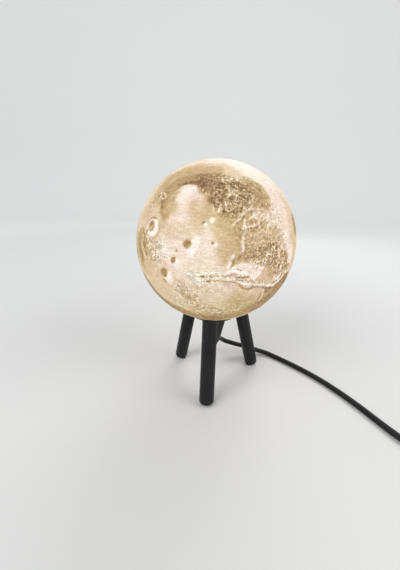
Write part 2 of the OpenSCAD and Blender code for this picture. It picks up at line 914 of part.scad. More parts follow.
// The switch's plan, drawn in by inset all round
module switch_plan(inset) {
  end_x = switch_len / 2 - inset;
  mid_x = switch_len / 2 - switch_taper;
  mid_y = switch_w / 2 - inset;
  end_y = switch_end_w / 2 - inset;
  polygon([
    [-end_x, -end_y], [-mid_x, -mid_y], [mid_x, -mid_y], [end_x, -end_y],
    [end_x, end_y], [mid_x, mid_y], [-mid_x, mid_y], [-end_x, end_y]
  ]);
}

module on_switch() {
  translate(SWITCH_AT)
    rotate([0, 0, switch_yaw])
      children();
}

module switch_base() {
  color([0.05, 0.05, 0.055])
    on_switch()
      difference() {
        union() {
          difference() {
            linear_extrude(switch_split)
              switch_plan(0);
            translate([0, 0, switch_wall])
              linear_extrude(switch_h)
                switch_plan(switch_wall);
          }
          for (side = [-1, 1])
            translate([side * switch_screw_at[0], -side * switch_screw_at[1], 0])
              cylinder(h = switch_split, r = switch_boss_r);
        }
        for (side = [-1, 1])
          translate([side * switch_screw_at[0], -side * switch_screw_at[1], -1]) {
            cylinder(h = switch_h, r = switch_screw_r + skin);
            cylinder(h = switch_screw_head_h + 1.4, r = switch_screw_head_r + skin);
          }
      }
}

module switch_cover() {
  slot_r = rocker_r + rocker_gap;
  slot_w = rocker_w / 2 + rocker_gap;
  color([0.06, 0.06, 0.065])
    on_switch()
      difference() {
        union() {
          difference() {
            translate([0, 0, switch_split])
              linear_extrude(switch_h - switch_split)
                switch_plan(0);
            translate([0, 0, switch_split - 1])
              linear_extrude(switch_h - switch_split - switch_wall + 1)
                switch_plan(switch_wall);
          }
          for (side = [-1, 1])
            translate([side * switch_screw_at[0], -side * switch_screw_at[1], switch_split])
              cylinder(h = switch_h - switch_split, r = switch_boss_r);
          for (side = [-1, 1])
            translate([-3.5, side * (slot_w + 1.2) - 1.2, rocker_z - 2.6])
              cube([7, 2.4, switch_h - rocker_z + 2.6]);
        }
        translate([-slot_r, -slot_w, switch_split - 1])
          cube([2 * slot_r, 2 * slot_w, switch_h]);
        translate([0, slot_w + 3, rocker_z])
          rotate([90, 0, 0])
            cylinder(h = 2 * slot_w + 6, r = pivot_r + pivot_gap);
        for (side = [-1, 1])
          translate([side * switch_screw_at[0], -side * switch_screw_at[1], 0])
            cylinder(h = switch_h - switch_wall, r = switch_screw_r + skin);
      }
}

module switch_rocker() {
  color([0.04, 0.04, 0.045])
    on_switch()
      translate([0, 0, rocker_z])
        rotate([0, rocker_tilt, 0])
          rotate([90, 0, 0]) {
            translate([0, 0, -rocker_w / 2])
              linear_extrude(rocker_w)
                intersection() {
                  circle(rocker_r, $fn = 96);
                  polygon([
                    [-rocker_r, -rocker_foot],
                    [rocker_r, -rocker_foot],
                    [rocker_r, rocker_top],
                    [0, rocker_top - rocker_dip],
                    [-rocker_r, rocker_top]
                  ]);
                }
            translate([0, 0, -rocker_w / 2 - pivot_len])
              cylinder(h = rocker_w + 2 * pivot_len, r = pivot_r);
          }
}

module switch_screws() {
  color([0.7, 0.7, 0.72])
    on_switch()
      for (side = [-1, 1])
        translate([side * switch_screw_at[0], -side * switch_screw_at[1], 0.4])
          difference() {
            union() {
              cylinder(h = switch_screw_head_h - 0.1, r = switch_screw_head_r);
              cylinder(h = switch_h - switch_wall - 1.4, r = switch_screw_r);
            }
            translate([-2, -0.3, -1])
              cube([4, 0.6, 1.6]);
          }
}

module switch_contacts() {
  strip_h = 3.6;
  color([0.82, 0.65, 0.35])
    on_switch()
      for (side = [-1, 1])
        translate([side * 13, 0, switch_wall]) {
          translate([-7, -2, 0])
            cube([14, 4, 0.6]);
          translate([side > 0 ? -7 : 5.8, -2, 0.5])
            cube([1.2, 4, strip_h]);
        }
}

module on_plug() {
  translate(plug_at)
    rotate([0, 0, plug_yaw])
      children();
}

module plug_body() {
  body_end = plug_relief + plug_len;
  relief_r = cord_d / 2 + 0.6;
  color([0.06, 0.06, 0.065])
    on_plug()
      difference() {
        union() {
          rotate([0, 90, 0])
            cylinder(h = plug_relief + 1, r1 = relief_r, r2 = relief_r + 2);
          translate([0, 0, -plug_t / 2])
            linear_extrude(plug_t)
              polygon([
                [plug_relief, -plug_end_w / 2],
                [plug_relief + plug_shoulder, -plug_w / 2],
                [body_end, -plug_w / 2 + plug_bevel],
                [body_end, plug_w / 2 - plug_bevel],
                [plug_relief + plug_shoulder, plug_w / 2],
                [plug_relief, plug_end_w / 2]
              ]);
        }
        for (side = [-1, 1])
          translate([body_end - 12, side * pin_gap / 2, 0])
            rotate([0, 90, 0])
              cylinder(h = 20, r = pin_r + skin);
      }
}

module plug_pins() {
  body_end = plug_relief + plug_len;
  color([0.75, 0.75, 0.77])
    on_plug()
      for (side = [-1, 1])
        translate([body_end - 11.6, side * pin_gap / 2, 0])
          rotate([0, 90, 0]) {
            cylinder(h = 11.6 + skin, r = pin_r);
            cylinder(h = 11.6 + sleeve_pin_len + skin, r = pin_r - 0.4);
            translate([0, 0, 11.6 + sleeve_pin_len])
              cylinder(h = pin_len - sleeve_pin_len - 1, r = pin_r);
            translate([0, 0, 11.6 + pin_len - 1])
              cylinder(h = 1, r1 = pin_r, r2 = pin_r - 0.8);
          }
}

module plug_sleeves() {
  body_end = plug_relief + plug_len;
  color([0.08, 0.08, 0.085])
    on_plug()
      for (side = [-1, 1])
        translate([body_end + 2 * skin, side * pin_gap / 2, 0])
          rotate([0, 90, 0])
            difference() {
              cylinder(h = sleeve_pin_len - 3 * skin, r = pin_r - skin);
              translate([0, 0, -1])
                cylinder(h = sleeve_pin_len + 2, r = pin_r - 0.4 + skin);
            }
}

globe_shell();
stand_hub();
leg_front();
leg_left();
leg_right();
foot_pads();
leg_screws();
holder_skirt();
holder_cap();
holder_insert();
screw_sleeve();
centre_contact();
terminal_screws();
live_wire();
neutral_wire();
cord_grip();
strain_relief();
bulb_cap();
bulb_insulator();
bulb_tip();
bulb_body();
bulb_dome();
led_board();
cord_run();
cord_lead();
cord_coil();
cord_tail();
coil_tie();
switch_base();
switch_cover();
switch_rocker();
switch_screws();
switch_contacts();
plug_body();
plug_pins();
plug_sleeves();
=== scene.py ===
"""Planet lamp: the looks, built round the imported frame.

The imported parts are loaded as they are. Pieces that need a finer shape or a finish of their own are
worked out with numpy, in millimetres and in the part's own frame: +Z up, the table at height 0, the
lamp's axis at the origin and the front leg towards -Y.
"""
import itertools
import json
import math

import bmesh
import bpy
import numpy as np
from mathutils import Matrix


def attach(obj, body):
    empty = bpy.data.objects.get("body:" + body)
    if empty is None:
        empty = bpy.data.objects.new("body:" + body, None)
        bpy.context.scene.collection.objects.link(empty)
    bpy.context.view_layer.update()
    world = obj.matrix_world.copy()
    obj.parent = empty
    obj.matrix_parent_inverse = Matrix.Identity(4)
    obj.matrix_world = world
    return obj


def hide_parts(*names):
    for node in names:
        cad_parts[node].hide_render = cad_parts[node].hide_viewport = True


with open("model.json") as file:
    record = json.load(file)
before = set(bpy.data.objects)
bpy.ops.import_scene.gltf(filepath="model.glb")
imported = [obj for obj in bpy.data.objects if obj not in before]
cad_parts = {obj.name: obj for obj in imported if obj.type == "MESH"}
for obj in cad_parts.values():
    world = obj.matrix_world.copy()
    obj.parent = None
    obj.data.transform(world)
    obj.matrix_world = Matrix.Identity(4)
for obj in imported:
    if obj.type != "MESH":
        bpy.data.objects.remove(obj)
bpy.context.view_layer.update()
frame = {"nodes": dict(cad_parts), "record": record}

MM = 0.001

# Sizes that the part gives, in millimetres and degrees
GLOBE_R = 80.0
GLOBE_Z = 160.0
GLOBE_WALL = 2.4
MOUTH_R = 27.0
ARM_OUT_R = 85.3
SEAT_Z = 77.8
LEG_ANGLES = {"leg_front": -90, "leg_left": 150, "leg_right": 30}
FOOT_RING_R = 54.5
LEG_LEAN = 13.9
LEG_R = 7.7
LEG_TIP_R = 3.8
LEG_START = 1.39
PAD_T = 1.5
CAP_Z = 50.8
CAP_TOP_R = 14.6
CAP_FOOT_R = 8.4
CORD_R = 3.0
ELBOW_AT = 82
ELBOW_BEND_R = 11.0
ELBOW_TURN = 72
ELBOW_R = 4.6
ELBOW_END_R = 3.6
ELBOW_TAIL = 10.0
BULB_CAP_R = 6.8
BULB_CAP_Z = 90.7
BULB_CAP_LEN = 16.4
THREAD_PITCH = 2.8
BULB_BODY_Z = 107.1
DOME_R = 20.0
DOME_Z = 145.1
DOME_DROP = 9.0
DOME_WALL = 1.2
BODY_WALL = 1.6
COLLAR_R = 7.9
WAIST_R = 15.2
WAIST_UP = 17.0
SWITCH_AT = (231.5, -87.0, 0.0)
SWITCH_YAW = -10
SWITCH_LEN = 60.0
SWITCH_W = 26.0
SWITCH_H = 16.0
SWITCH_SPLIT = 7.4
SWITCH_TAPER = 12.0
SWITCH_END_W = 16.0
SWITCH_WALL = 1.8
SWITCH_SCREW_AT = (15, 9)
SWITCH_HOLE_R = 2.35
SWITCH_HOLE_UP = 2.8
SWITCH_CORD_Z = 7.0
ROCKER_Z = 12.2
ROCKER_R = 9.8
ROCKER_W = 10.0
ROCKER_GAP = 0.4
ROCKER_FOOT = 4.4
ROCKER_TILT = 8
COIL_AT = (312.2, -55.3)
COIL_START = -100
COIL_TURNS = 3
COIL_IN_R = 25.4
COIL_PITCH = 6.6
COIL_Z = 3.05
COIL_TIE_AT = 170
TIE_T = 0.8
TIE_W = 9.0
TIE_GAP = 0.3
PLUG_YAW = 80
PLUG_T = 13.6
PLUG_W = 35.0
PLUG_RELIEF = 18.0
PLUG_LEN = 36.0
TAIL_LEN = 34.0

# Sizes chosen for the looks, in millimetres, and how many points a ring has
CORE_THINNER = 2.1
RIB_DEEP = 0.42
RIB_PITCH = 2.9
THREAD_DEEP = 0.55
THREAD_RING = 72
CROWN_IN = 4.6
CROWN_RISE = 4.7
PLUG_RING = 96


# Shapes

def turn(points, degrees):
    """Points turned round +Z: x cos a - y sin a, x sin a + y cos a, z."""
    a = math.radians(degrees)
    x, y, z = np.moveaxis(np.asarray(points, float), -1, 0)
    return np.stack([x * math.cos(a) - y * math.sin(a), x * math.sin(a) + y * math.cos(a), z], -1)


def lean(points, degrees):
    """Points turned round +Y: x cos a + z sin a, y, z cos a - x sin a."""
    a = math.radians(degrees)
    x, y, z = np.moveaxis(np.asarray(points, float), -1, 0)
    return np.stack([x * math.cos(a) + z * math.sin(a), y, z * math.cos(a) - x * math.sin(a)], -1)


def unit(v):
    """Vectors divided by their own lengths."""
    v = np.asarray(v, float)
    return v / np.linalg.norm(v, axis=-1, keepdims=True)


def smoothstep(low, high, x):
    """0 below low, 1 above high, and 3t^2 - 2t^3 between them."""
    t = np.clip((x - low) / (high - low), 0, 1)
    return t * t * (3 - 2 * t)


def curve_through(points, steps):
    """A smooth curve through points: between two neighbours b and c, with a before and d after, it
    is half of 2b + (c - a)t + (2a - 5b + 4c - d)t^2 + (3b - a - 3c + d)t^3, for steps values of
    t."""
    p = np.asarray(points, float)
    a, b, c, d = np.vstack([p[:1], p[:-2]]), p[:-1], p[1:], np.vstack([p[2:], p[-1:]])
    t = (np.arange(steps) / steps)[None, :, None]
    a, b, c, d = (q[:, None, :] for q in (a, b, c, d))
    made = 0.5 * (2 * b + (c - a) * t + (2 * a - 5 * b + 4 * c - d) * t ** 2
                  + (3 * b - a - 3 * c + d) * t ** 3)
    return np.vstack([made.reshape(-1, p.shape[1]), p[-1:]])


def rounded(corners, radius, steps=5, closed=True):
    """An outline with each corner p replaced by the curve (1-t)^2 s + 2t(1-t) p + t^2 e, whose
    ends s and e lie on its two sides, a radius away from it or at most 0.45 of the side."""
    p = np.asarray(corners, float)
    r = np.broadcast_to(np.asarray(radius, float), len(p)).copy()
    back, on = np.roll(p, 1, 0) - p, np.roll(p, -1, 0) - p
    if not closed:
        back[0], on[-1] = on[0], back[-1]
        r[0] = r[-1] = 0
    lengths = np.stack([np.linalg.norm(back, axis=1), np.linalg.norm(on, axis=1)], 1)
    reach = np.minimum(r, 0.45 * lengths.min(1))[:, None]
    s = p + back / lengths[:, :1] * reach
    e = p + on / lengths[:, 1:] * reach
    t = np.linspace(0, 1, steps)[None, :, None]
    arcs = (1 - t) ** 2 * s[:, None] + 2 * t * (1 - t) * p[:, None] + t ** 2 * e[:, None]
    return arcs.reshape(-1, p.shape[1])


def grid_faces(rows, columns, wrap_rows=False, wrap_columns=True):
    """Four-cornered faces of a grid of rows x columns points, joined end to end where it wraps."""
    i, j = np.meshgrid(np.arange(rows if wrap_rows else rows - 1),
                       np.arange(columns if wrap_columns else columns - 1), indexing="ij")
    a = i * columns + j
    b = i * columns + (j + 1) % columns
    c = (i + 1) % rows * columns + (j + 1) % columns
    d = (i + 1) % rows * columns + j
    return np.stack([a, b, c, d], -1).reshape(-1, 4)


def tube_faces(rows, columns):
    """Faces of rings joined into a tube whose two ends are closed flat."""
    ring = np.arange(columns)
    return [grid_faces(rows, columns), ring[None, ::-1], (rows - 1) * columns + ring[None, :]]


def mesh_of(name, points, faces, weld=0.0, around=False):
    """A mesh in metres from points in millimetres and faces. weld merges points nearer than that
    many millimetres, and around turns the faces outwards."""
    mesh = bpy.data.meshes.new(name)
    mesh.from_pydata((np.asarray(points, float).reshape(-1, 3) * MM).tolist(), [],
                     [row for part in faces for row in np.asarray(part).tolist()])
    if weld or around:
        shape = bmesh.new()
        shape.from_mesh(mesh)
        if weld:
            bmesh.ops.remove_doubles(shape, verts=shape.verts, dist=weld * MM)
        if around:
            bmesh.ops.recalc_face_normals(shape, faces=shape.faces)
        shape.to_mesh(mesh)
        shape.free()
    return mesh


def show(name, data):
    """A new object in the scene."""
    made = bpy.data.objects.new(name, data)
    bpy.context.scene.collection.objects.link(made)
    return made


def make(name, points, faces, slot, body="stand", replaces=(), sharp=None, weld=0.0, around=False):
    """A finished piece: a mesh_of its points and faces in its slot's finish, which rides on its
    body. sharp is the angle over which an edge is hard."""
    mesh = mesh_of(name, points, faces, weld, around)
    mesh.validate()
    mesh.shade_smooth()
    if sharp:
        mesh.set_sharp_from_angle(angle=math.radians(sharp))
    mesh.materials.append(MATERIALS[slot])
    piece = show(name, mesh)
    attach(piece, body)
    if replaces:
        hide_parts(*replaces)
    return piece


def revolve(profile, columns=96, closed=True):
    """Points and faces of a profile (radius, height) turned round +Z: (r cos a, r sin a, z)."""
    profile = np.asarray(profile, float)
    a = np.linspace(0, 2 * math.pi, columns, endpoint=False)[None, :]
    r, z = profile[:, :1], profile[:, 1:]
    points = np.stack([r * np.cos(a), r * np.sin(a), z + 0 * a], -1)
    return points.reshape(-1, 3), [grid_faces(len(profile), columns, closed)]


def sweep(path, radius, sides, up=(0, 0, 1)):
    """Points and faces of a round tube: at each point c of the path, with its way w, the ring
    c + r (cos a s + sin a t), where s is w x up and t is s x w. radius is one value or one a
    point."""
    path = np.asarray(path, float)
    way = unit(np.gradient(path, axis=0))
    side = unit(np.cross(way, np.asarray(up, float)))
    top = np.cross(side, way)
    a = np.linspace(0, 2 * math.pi, sides, endpoint=False)[None, :, None]
    r = np.broadcast_to(np.asarray(radius, float), len(path))[:, None, None]
    rings = path[:, None] + r * (np.cos(a) * side[:, None] + np.sin(a) * top[:, None])
    return rings.reshape(-1, 3), tube_faces(len(path), sides)


# Materials

MATERIALS = {}


def put(tree, node, inputs):
    """Gives a node's inputs values, or links from other nodes' sockets."""
    for key, value in inputs.items():
        if isinstance(value, bpy.types.NodeSocket):
            tree.links.new(value, node.inputs[key])
        else:
            node.inputs[key].default_value = value


def add(tree, kind, inputs=None, **settings):
    """A new shader node with its settings, and inputs that are values or other nodes' sockets."""
    made = tree.nodes.new("ShaderNode" + kind)
    for key, value in settings.items():
        setattr(made, key, value)
    put(tree, made, inputs or {})
    return made


def blank(name):
    """A new material, kept in MATERIALS: its node tree, its Principled shader and the place on the
    piece, as Object coordinates."""
    material = MATERIALS[name] = bpy.data.materials.new(name)
    material.use_nodes = True
    tree = material.node_tree
    return tree, tree.nodes["Principled BSDF"], add(tree, "TexCoord").outputs["Object"]


def noise_of(tree, where, scale, detail=4.0, rough=0.55):
    """The output of a noise texture at a place, with a scale in waves a metre."""
    return add(tree, "TexNoise", {"Vector": where, "Scale": scale, "Detail": detail,
                                  "Roughness": rough}).outputs["Fac"]


def math_of(tree, operation, *values):
    """The output of a Math node."""
    return add(tree, "Math", dict(enumerate(values)), operation=operation).outputs["Value"]


def mix(tree, factor, a, b, blend="MIX"):
    """The colour a with b blended over it. A Mix node's colours are its sockets 6 and 7."""
    return add(tree, "Mix", {0: factor, 6: a, 7: b}, data_type="RGBA",
               blend_type=blend).outputs[2]


def times(tree, a, b):
    """The colour a times the colour b."""
    return mix(tree, 1.0, a, b, "MULTIPLY")


def spread(tree, value, low, high, start=0.3, end=0.7):
    """A value from start to end, mapped to low to high."""
    return add(tree, "MapRange", {"Value": value, "From Min": start, "From Max": end,
                                  "To Min": low, "To Max": high}).outputs["Result"]


def shades(tree, value, dark, light, start=0.3, end=0.7):
    """From the colour dark to the colour light as a value goes from start to end."""
    return mix(tree, spread(tree, value, 0, 1, start, end), (*dark, 1), (*light, 1))


def bumped(tree, *layers):
    """The normal of bumps over each other, each with a height, a strength and a depth in metres."""
    under = {}
    for height, strength, distance in layers:
        normal = add(tree, "Bump", {"Height": height, "Strength": strength, "Distance": distance,
                                    **under}).outputs["Normal"]
        under = {"Normal": normal}
    return normal


def finish(name, colour, roughness, metallic=0.0, grain=(2500, 0.00004), cloud=(60, 0.12),
           gloss_spread=0.08, specular=0.5):
    """A moulded, printed or metal finish. Two noises work on it: a coarse cloud lightens and
    darkens the colour, and a fine grain is its bump and varies its roughness. Its metal and its
    specular level are the same all over, so they are set on the shader itself."""
    tree, shader, where = blank(name)
    coarse = noise_of(tree, where, cloud[0], 3.0)
    fine = noise_of(tree, where, grain[0], 5.0, 0.6)
    put(tree, shader, {
        "Base Color": shades(tree, coarse, [c * (1 - cloud[1]) for c in colour],
                             [min(1, c * (1 + cloud[1]) + 0.01 * cloud[1]) for c in colour]),
        "Roughness": spread(tree, fine, roughness - gloss_spread, roughness + gloss_spread),
        "Normal": bumped(tree, (fine, 1.0, grain[1])), "Metallic": metallic,
        "Specular IOR Level": specular})


BLACK = (0.008, 0.008, 0.009)
DEEP_BLACK = (0.006, 0.006, 0.007)
DULL = 0.28
GLOBE_GLOW = 0.63
BULB_GLOW = 0.3

finish("stand_black", BLACK, 0.46, grain=(1500, 0.00006), cloud=(45, 0.25), specular=DULL)
finish("leg_black", DEEP_BLACK, 0.42, grain=(1300, 0.00005), cloud=(40, 0.25), specular=DULL)
finish("pad_rubber", (0.045, 0.045, 0.046), 0.85, grain=(1800, 0.0001))
finish("screw_steel", (0.56, 0.57, 0.60), 0.30, 1.0, grain=(3500, 0.00003), cloud=(300, 0.12))
finish("holder_black", BLACK, 0.36, grain=(2200, 0.00004), cloud=(80, 0.2), specular=DULL)
finish("holder_core", (0.80, 0.77, 0.70), 0.75, grain=(1800, 0.00008), cloud=(150, 0.08))
finish("contact_brass", (0.76, 0.56, 0.26), 0.28, 1.0, grain=(2600, 0.00003), cloud=(220, 0.15))
finish("wire_live", (0.22, 0.10, 0.05), 0.40, grain=(2500, 0.00003))
finish("wire_neutral", (0.05, 0.15, 0.45), 0.40, grain=(2500, 0.00003))
finish("cord_pvc", DEEP_BLACK, 0.40, grain=(900, 0.00005), cloud=(70, 0.25), specular=DULL)
finish("relief_rubber", (0.009, 0.009, 0.010), 0.52, grain=(1700, 0.00007), cloud=(90, 0.22),
       specular=DULL)
finish("bulb_metal", (0.72, 0.72, 0.74), 0.25, 1.0, grain=(2200, 0.00003), cloud=(180, 0.1))
finish("bulb_glass_black", (0.015, 0.015, 0.016), 0.12, grain=(1200, 0.00002), gloss_spread=0.04)
finish("bulb_plastic", (0.82, 0.81, 0.78), 0.38, grain=(1600, 0.00003), cloud=(60, 0.03))
finish("board_white", (0.80, 0.80, 0.76), 0.35, grain=(2800, 0.00003), cloud=(120, 0.05))
finish("switch_black", (0.012, 0.012, 0.013), 0.50, grain=(1900, 0.00009), cloud=(90, 0.2),
       specular=DULL)
finish("rocker_black", BLACK, 0.24, grain=(1500, 0.00002), cloud=(120, 0.2), gloss_spread=0.05,
       specular=DULL)
finish("pin_nickel", (0.66, 0.65, 0.62), 0.22, 1.0, grain=(2600, 0.00002), cloud=(200, 0.12))


# Camera: the photograph's viewing angle. Its place is in millimetres, its focal length and middle
# are in the photograph's pixels, and it looks PHOTO_DOWN degrees down from level.

PHOTO_FROM = np.array([30.5, -271.9, 204.8])
PHOTO_DOWN = 18.4
PHOTO_TURN = 9.7
PHOTO_F = 261.0
PHOTO_MIDDLE = (200.0, 285.0)
PHOTO_AHEAD = turn((0, math.cos(math.radians(PHOTO_DOWN)), -math.sin(math.radians(PHOTO_DOWN))),
                   PHOTO_TURN)
PHOTO_RIGHT = turn((1, 0, 0), PHOTO_TURN)
PHOTO_ABOVE = np.cross(PHOTO_RIGHT, PHOTO_AHEAD)

camera_data = bpy.data.cameras.new("camera")
camera = show("camera", camera_data)
camera_data.sensor_width = 36
camera_data.lens = 16.48
camera_data.clip_start = 0.01
camera.location = (0.0305, -0.2719, 0.2048)
camera.rotation_euler = (math.radians(90 - PHOTO_DOWN), 0, math.radians(PHOTO_TURN))
bpy.context.scene.camera = camera


# Cord: one lead from the strain relief, through the switch and the coil, to the plug

CORD_PATH = [
    (5.9, 31.5, 30.2), (11.3, 38.5, 23.3), (19.1, 43.4, 18.3), (28.4, 46, 14.8),
    (37.6, 47.8, 12), (47.1, 49.4, 8.6), (57.5, 50.2, 5.5), (68.8, 48.1, 3.8),
    (79, 42.2, 3.05), (91.5, 33, 3.05), (104, 23, 3.05), (117.5, 11, 3.05),
    (130.5, -2.6, 3.05), (143, -18, 3.05), (154.5, -34.5, 3.05), (165, -51.5, 3.05),
    (173.9, -66, 3.5), (179.6, -72.9, 4.5), (187, -77.9, 5.8),
]


def relief_path(count):
    """Centre line of the strain relief: down out of the cap, round an arc of ELBOW_TURN degrees,
    and on along its tangent for ELBOW_TAIL."""
    turned = math.radians(ELBOW_TURN)
    s = np.linspace(-1.0, ELBOW_BEND_R * turned + ELBOW_TAIL, count)
    a = np.clip(s / ELBOW_BEND_R, 0, turned)
    past = np.clip(s - ELBOW_BEND_R * turned, 0, None)
    x = ELBOW_BEND_R * (1 - np.cos(a)) + past * math.sin(turned)
    z = CAP_Z - ELBOW_BEND_R * np.sin(a) - past * math.cos(turned) - np.clip(s, None, 0)
    return s, turn(np.stack([x, np.zeros(count), z], 1), ELBOW_AT)


def coil_path(steps):
    """The coil's centre line: inwards COIL_TURNS turns on the table at one pitch a turn, up over
    half a turn, and outwards on top, with a bump of cos^8 over the tie's strap."""
    all_turns = 2 * COIL_TURNS + 0.25
    u = np.linspace(0, all_turns, round(all_turns * steps) + 1)
    climb = np.clip((u - COIL_TURNS) / 0.5, 0, 1)
    w = climb * 0.5
    r = np.where(u <= COIL_TURNS, COIL_IN_R + COIL_PITCH * (COIL_TURNS - u),
                 np.where(u >= COIL_TURNS + 0.5, COIL_IN_R + COIL_PITCH * (u - COIL_TURNS - 0.5),
                          COIL_IN_R - COIL_PITCH * w + 2 * COIL_PITCH * w * w))
    a = np.radians(COIL_START + 360 * u)
    bump = (TIE_T + TIE_GAP) * np.maximum(0, np.cos(a - math.radians(COIL_TIE_AT))) ** 8
    z = COIL_Z + bump + COIL_PITCH * climb * climb * (3 - 2 * climb)
    return np.stack([COIL_AT[0] + r * np.cos(a), COIL_AT[1] + r * np.sin(a), z], 1)


exit_line = relief_path(60)[1]
CORD_EXIT = exit_line[-1]
CORD_EXIT_WAY = unit(exit_line[-1] - exit_line[-2])
SWITCH_WAY = turn((1, 0, 0), SWITCH_YAW)
PLUG_WAY = turn((1, 0, 0), PLUG_YAW)
switch_middle = np.array(SWITCH_AT) + (0, 0, SWITCH_CORD_Z)
switch_in = switch_middle - SWITCH_WAY * SWITCH_LEN / 2
switch_out = switch_middle + SWITCH_WAY * SWITCH_LEN / 2

coil_line = coil_path(24)
coil_in_way = unit(coil_line[1] - coil_line[0])
coil_out_way = unit(coil_line[-1] - coil_line[-2])
coil_in = coil_line[0] - 2 * CORD_R * coil_in_way
coil_out = coil_line[-1] + 2 * CORD_R * coil_out_way
plug_at = np.append(coil_out[:2] + TAIL_LEN * PLUG_WAY[:2], PLUG_T / 2)

# Inside the switch the sheath is stripped: the cores dip under the rocker
inside = [switch_middle + SWITCH_WAY * x - (0, 0, CORE_THINNER) for x in (-12, 0, 12)]
run_points = np.vstack([
    [CORD_EXIT - 6 * CORD_EXIT_WAY, CORD_EXIT, CORD_EXIT + 6 * CORD_EXIT_WAY], CORD_PATH,
    [switch_in - 6 * SWITCH_WAY, switch_in], inside, [switch_out, switch_out + 6 * SWITCH_WAY],
])
lead_gap = coil_in - switch_out
lead_points = np.vstack([switch_out + 0.4 * lead_gap + (0, 0, 1), switch_out + 0.7 * lead_gap,
                         coil_in])
tail_points = np.vstack([coil_out, coil_out + 0.5 * (plug_at - coil_out), plug_at - 6 * PLUG_WAY,
                         plug_at + 10 * PLUG_WAY])
cord_line = np.vstack([curve_through(np.vstack([run_points, lead_points]), 6), coil_path(48),
                       curve_through(tail_points, 8)])
steps = np.linalg.norm(np.diff(cord_line, axis=0), axis=1)
along = np.concatenate([[0], np.cumsum(steps)])
switch_at_s = along[np.argmin(np.linalg.norm(cord_line - switch_middle, axis=1))]
stripped = 1 - smoothstep(15, 22, np.abs(along - switch_at_s))
cord_r = CORD_R - CORE_THINNER * stripped
cord_piece = make("mains_lead", *sweep(cord_line, cord_r, 16), "cord_pvc",
                  replaces=("cord_run", "cord_lead", "cord_coil", "cord_tail"))


# Globe: relief and tint are painted on it in strokes, as angles round +Z and above its equator

def gradient_noise(places, scale, seed):
    """Smooth noise from about -1 to 1 at places: a random slope g at each corner of a cubic grid
    gives g . (place - corner), and the eight are blended by 6t^5 - 15t^4 + 10t^3 along each
    side."""
    rng = np.random.default_rng(seed)
    table = rng.permutation(256)
    slopes = unit(rng.normal(size=(256, 3)))
    q = places * scale + 64.0
    cell = np.floor(q).astype(int)
    part = q - cell
    fade = part ** 3 * (part * (6 * part - 15) + 10)
    total = np.zeros(len(places))
    for corner in itertools.product((0, 1), repeat=3):
        at = (cell + corner) % 256
        index = table[(table[(table[at[:, 0]] + at[:, 1]) % 256] + at[:, 2]) % 256]
        weight = np.prod(np.where(corner, fade, 1 - fade), axis=1)
        total += weight * np.sum(slopes[index] * (part - corner), axis=1)
    return 1.6 * total


def layered(places, scale, octaves, seed, ridged=False):
    """Octaves of noise, each at twice the scale and 0.55 of the height of the last; ridged noise is
    1 - 2|n|, which makes a net of sharp crests."""
    total, height, reach = 0.0, 1.0, 0.0
    for i in range(octaves):
        n = gradient_noise(places, scale * 2 ** i, seed + i)
        total = total + height * (1 - 2 * np.abs(n) if ridged else n)
        reach += height
        height *= 0.55
    return total / reach


def outward(angles):
    """Unit vectors (cos e cos a, cos e sin a, sin e) for pairs of a round +Z and e above the
    equator."""
    a, e = np.radians(np.moveaxis(np.asarray(angles, float), -1, 0))
    return np.stack([np.cos(e) * np.cos(a), np.cos(e) * np.sin(a), np.sin(e)], -1)


def angle_to(places, points):
    """Angle in degrees from each place to the nearest point of the great-circle path through
    points."""
    p = outward(points)
    if len(p) > 1:
        p = unit(curve_through(p, 14))
    return np.degrees(np.arccos(np.clip((places @ p.T).max(1), -1, 1)))


def craters(places, centres, radii, depth):
    """Relief of bowl craters: (1.45 d^2 - 1) x depth inside the rim, where d is the distance from
    the centre over the radius, and 0.45 exp(-6 (d - 1)) x depth outside, faded out from 1.6 to
    2.2. A radius under 3 degrees makes the depth less in proportion."""
    total = np.zeros(len(places))
    for centre, radius in zip(outward(centres), radii):
        d = np.degrees(np.arccos(np.clip(places @ centre, -1, 1))) / radius
        near = d < 2.2
        d = d[near]
        bowl = np.where(d < 1, 1.45 * d ** 2 - 1, 0.45 * np.exp(-6 * (d - 1)))
        total[near] += depth * min(1, radius / 3) * bowl * (1 - smoothstep(1.6, 2.2, d))
    return total


def on_globe(x, y):
    """Where the photograph's pixel (x, y) lies on the globe: azimuth and elevation in degrees, to a
    tenth. Its ray goes along w = ahead + right (x - mx) / f + above (my - y) / f, made a unit, with
    (mx, my) the picture's middle. From the camera c it meets the globe round g at
    c - (b + (b^2 - k)^0.5) w, with b = (c - g) . w and k = (c - g)^2 - R^2, and where it misses,
    its nearest point c - b w is taken."""
    w = unit(PHOTO_AHEAD + PHOTO_RIGHT * (x - PHOTO_MIDDLE[0]) / PHOTO_F
             + PHOTO_ABOVE * (PHOTO_MIDDLE[1] - y) / PHOTO_F)
    away = PHOTO_FROM - (0, 0, GLOBE_Z)
    b = away @ w
    met = max(0, b * b - (away @ away - GLOBE_R ** 2))
    px, py, pz = unit(away - (b + math.sqrt(met)) * w)
    return round(math.degrees(math.atan2(py, px)), 1), round(math.degrees(math.asin(pz)), 1)


def from_photo(rows):
    """Rows whose points are the photograph's pixels, with those points as angles on the globe."""
    return [row[:5] + tuple(on_globe(*point) for point in row[5:]) for row in rows]


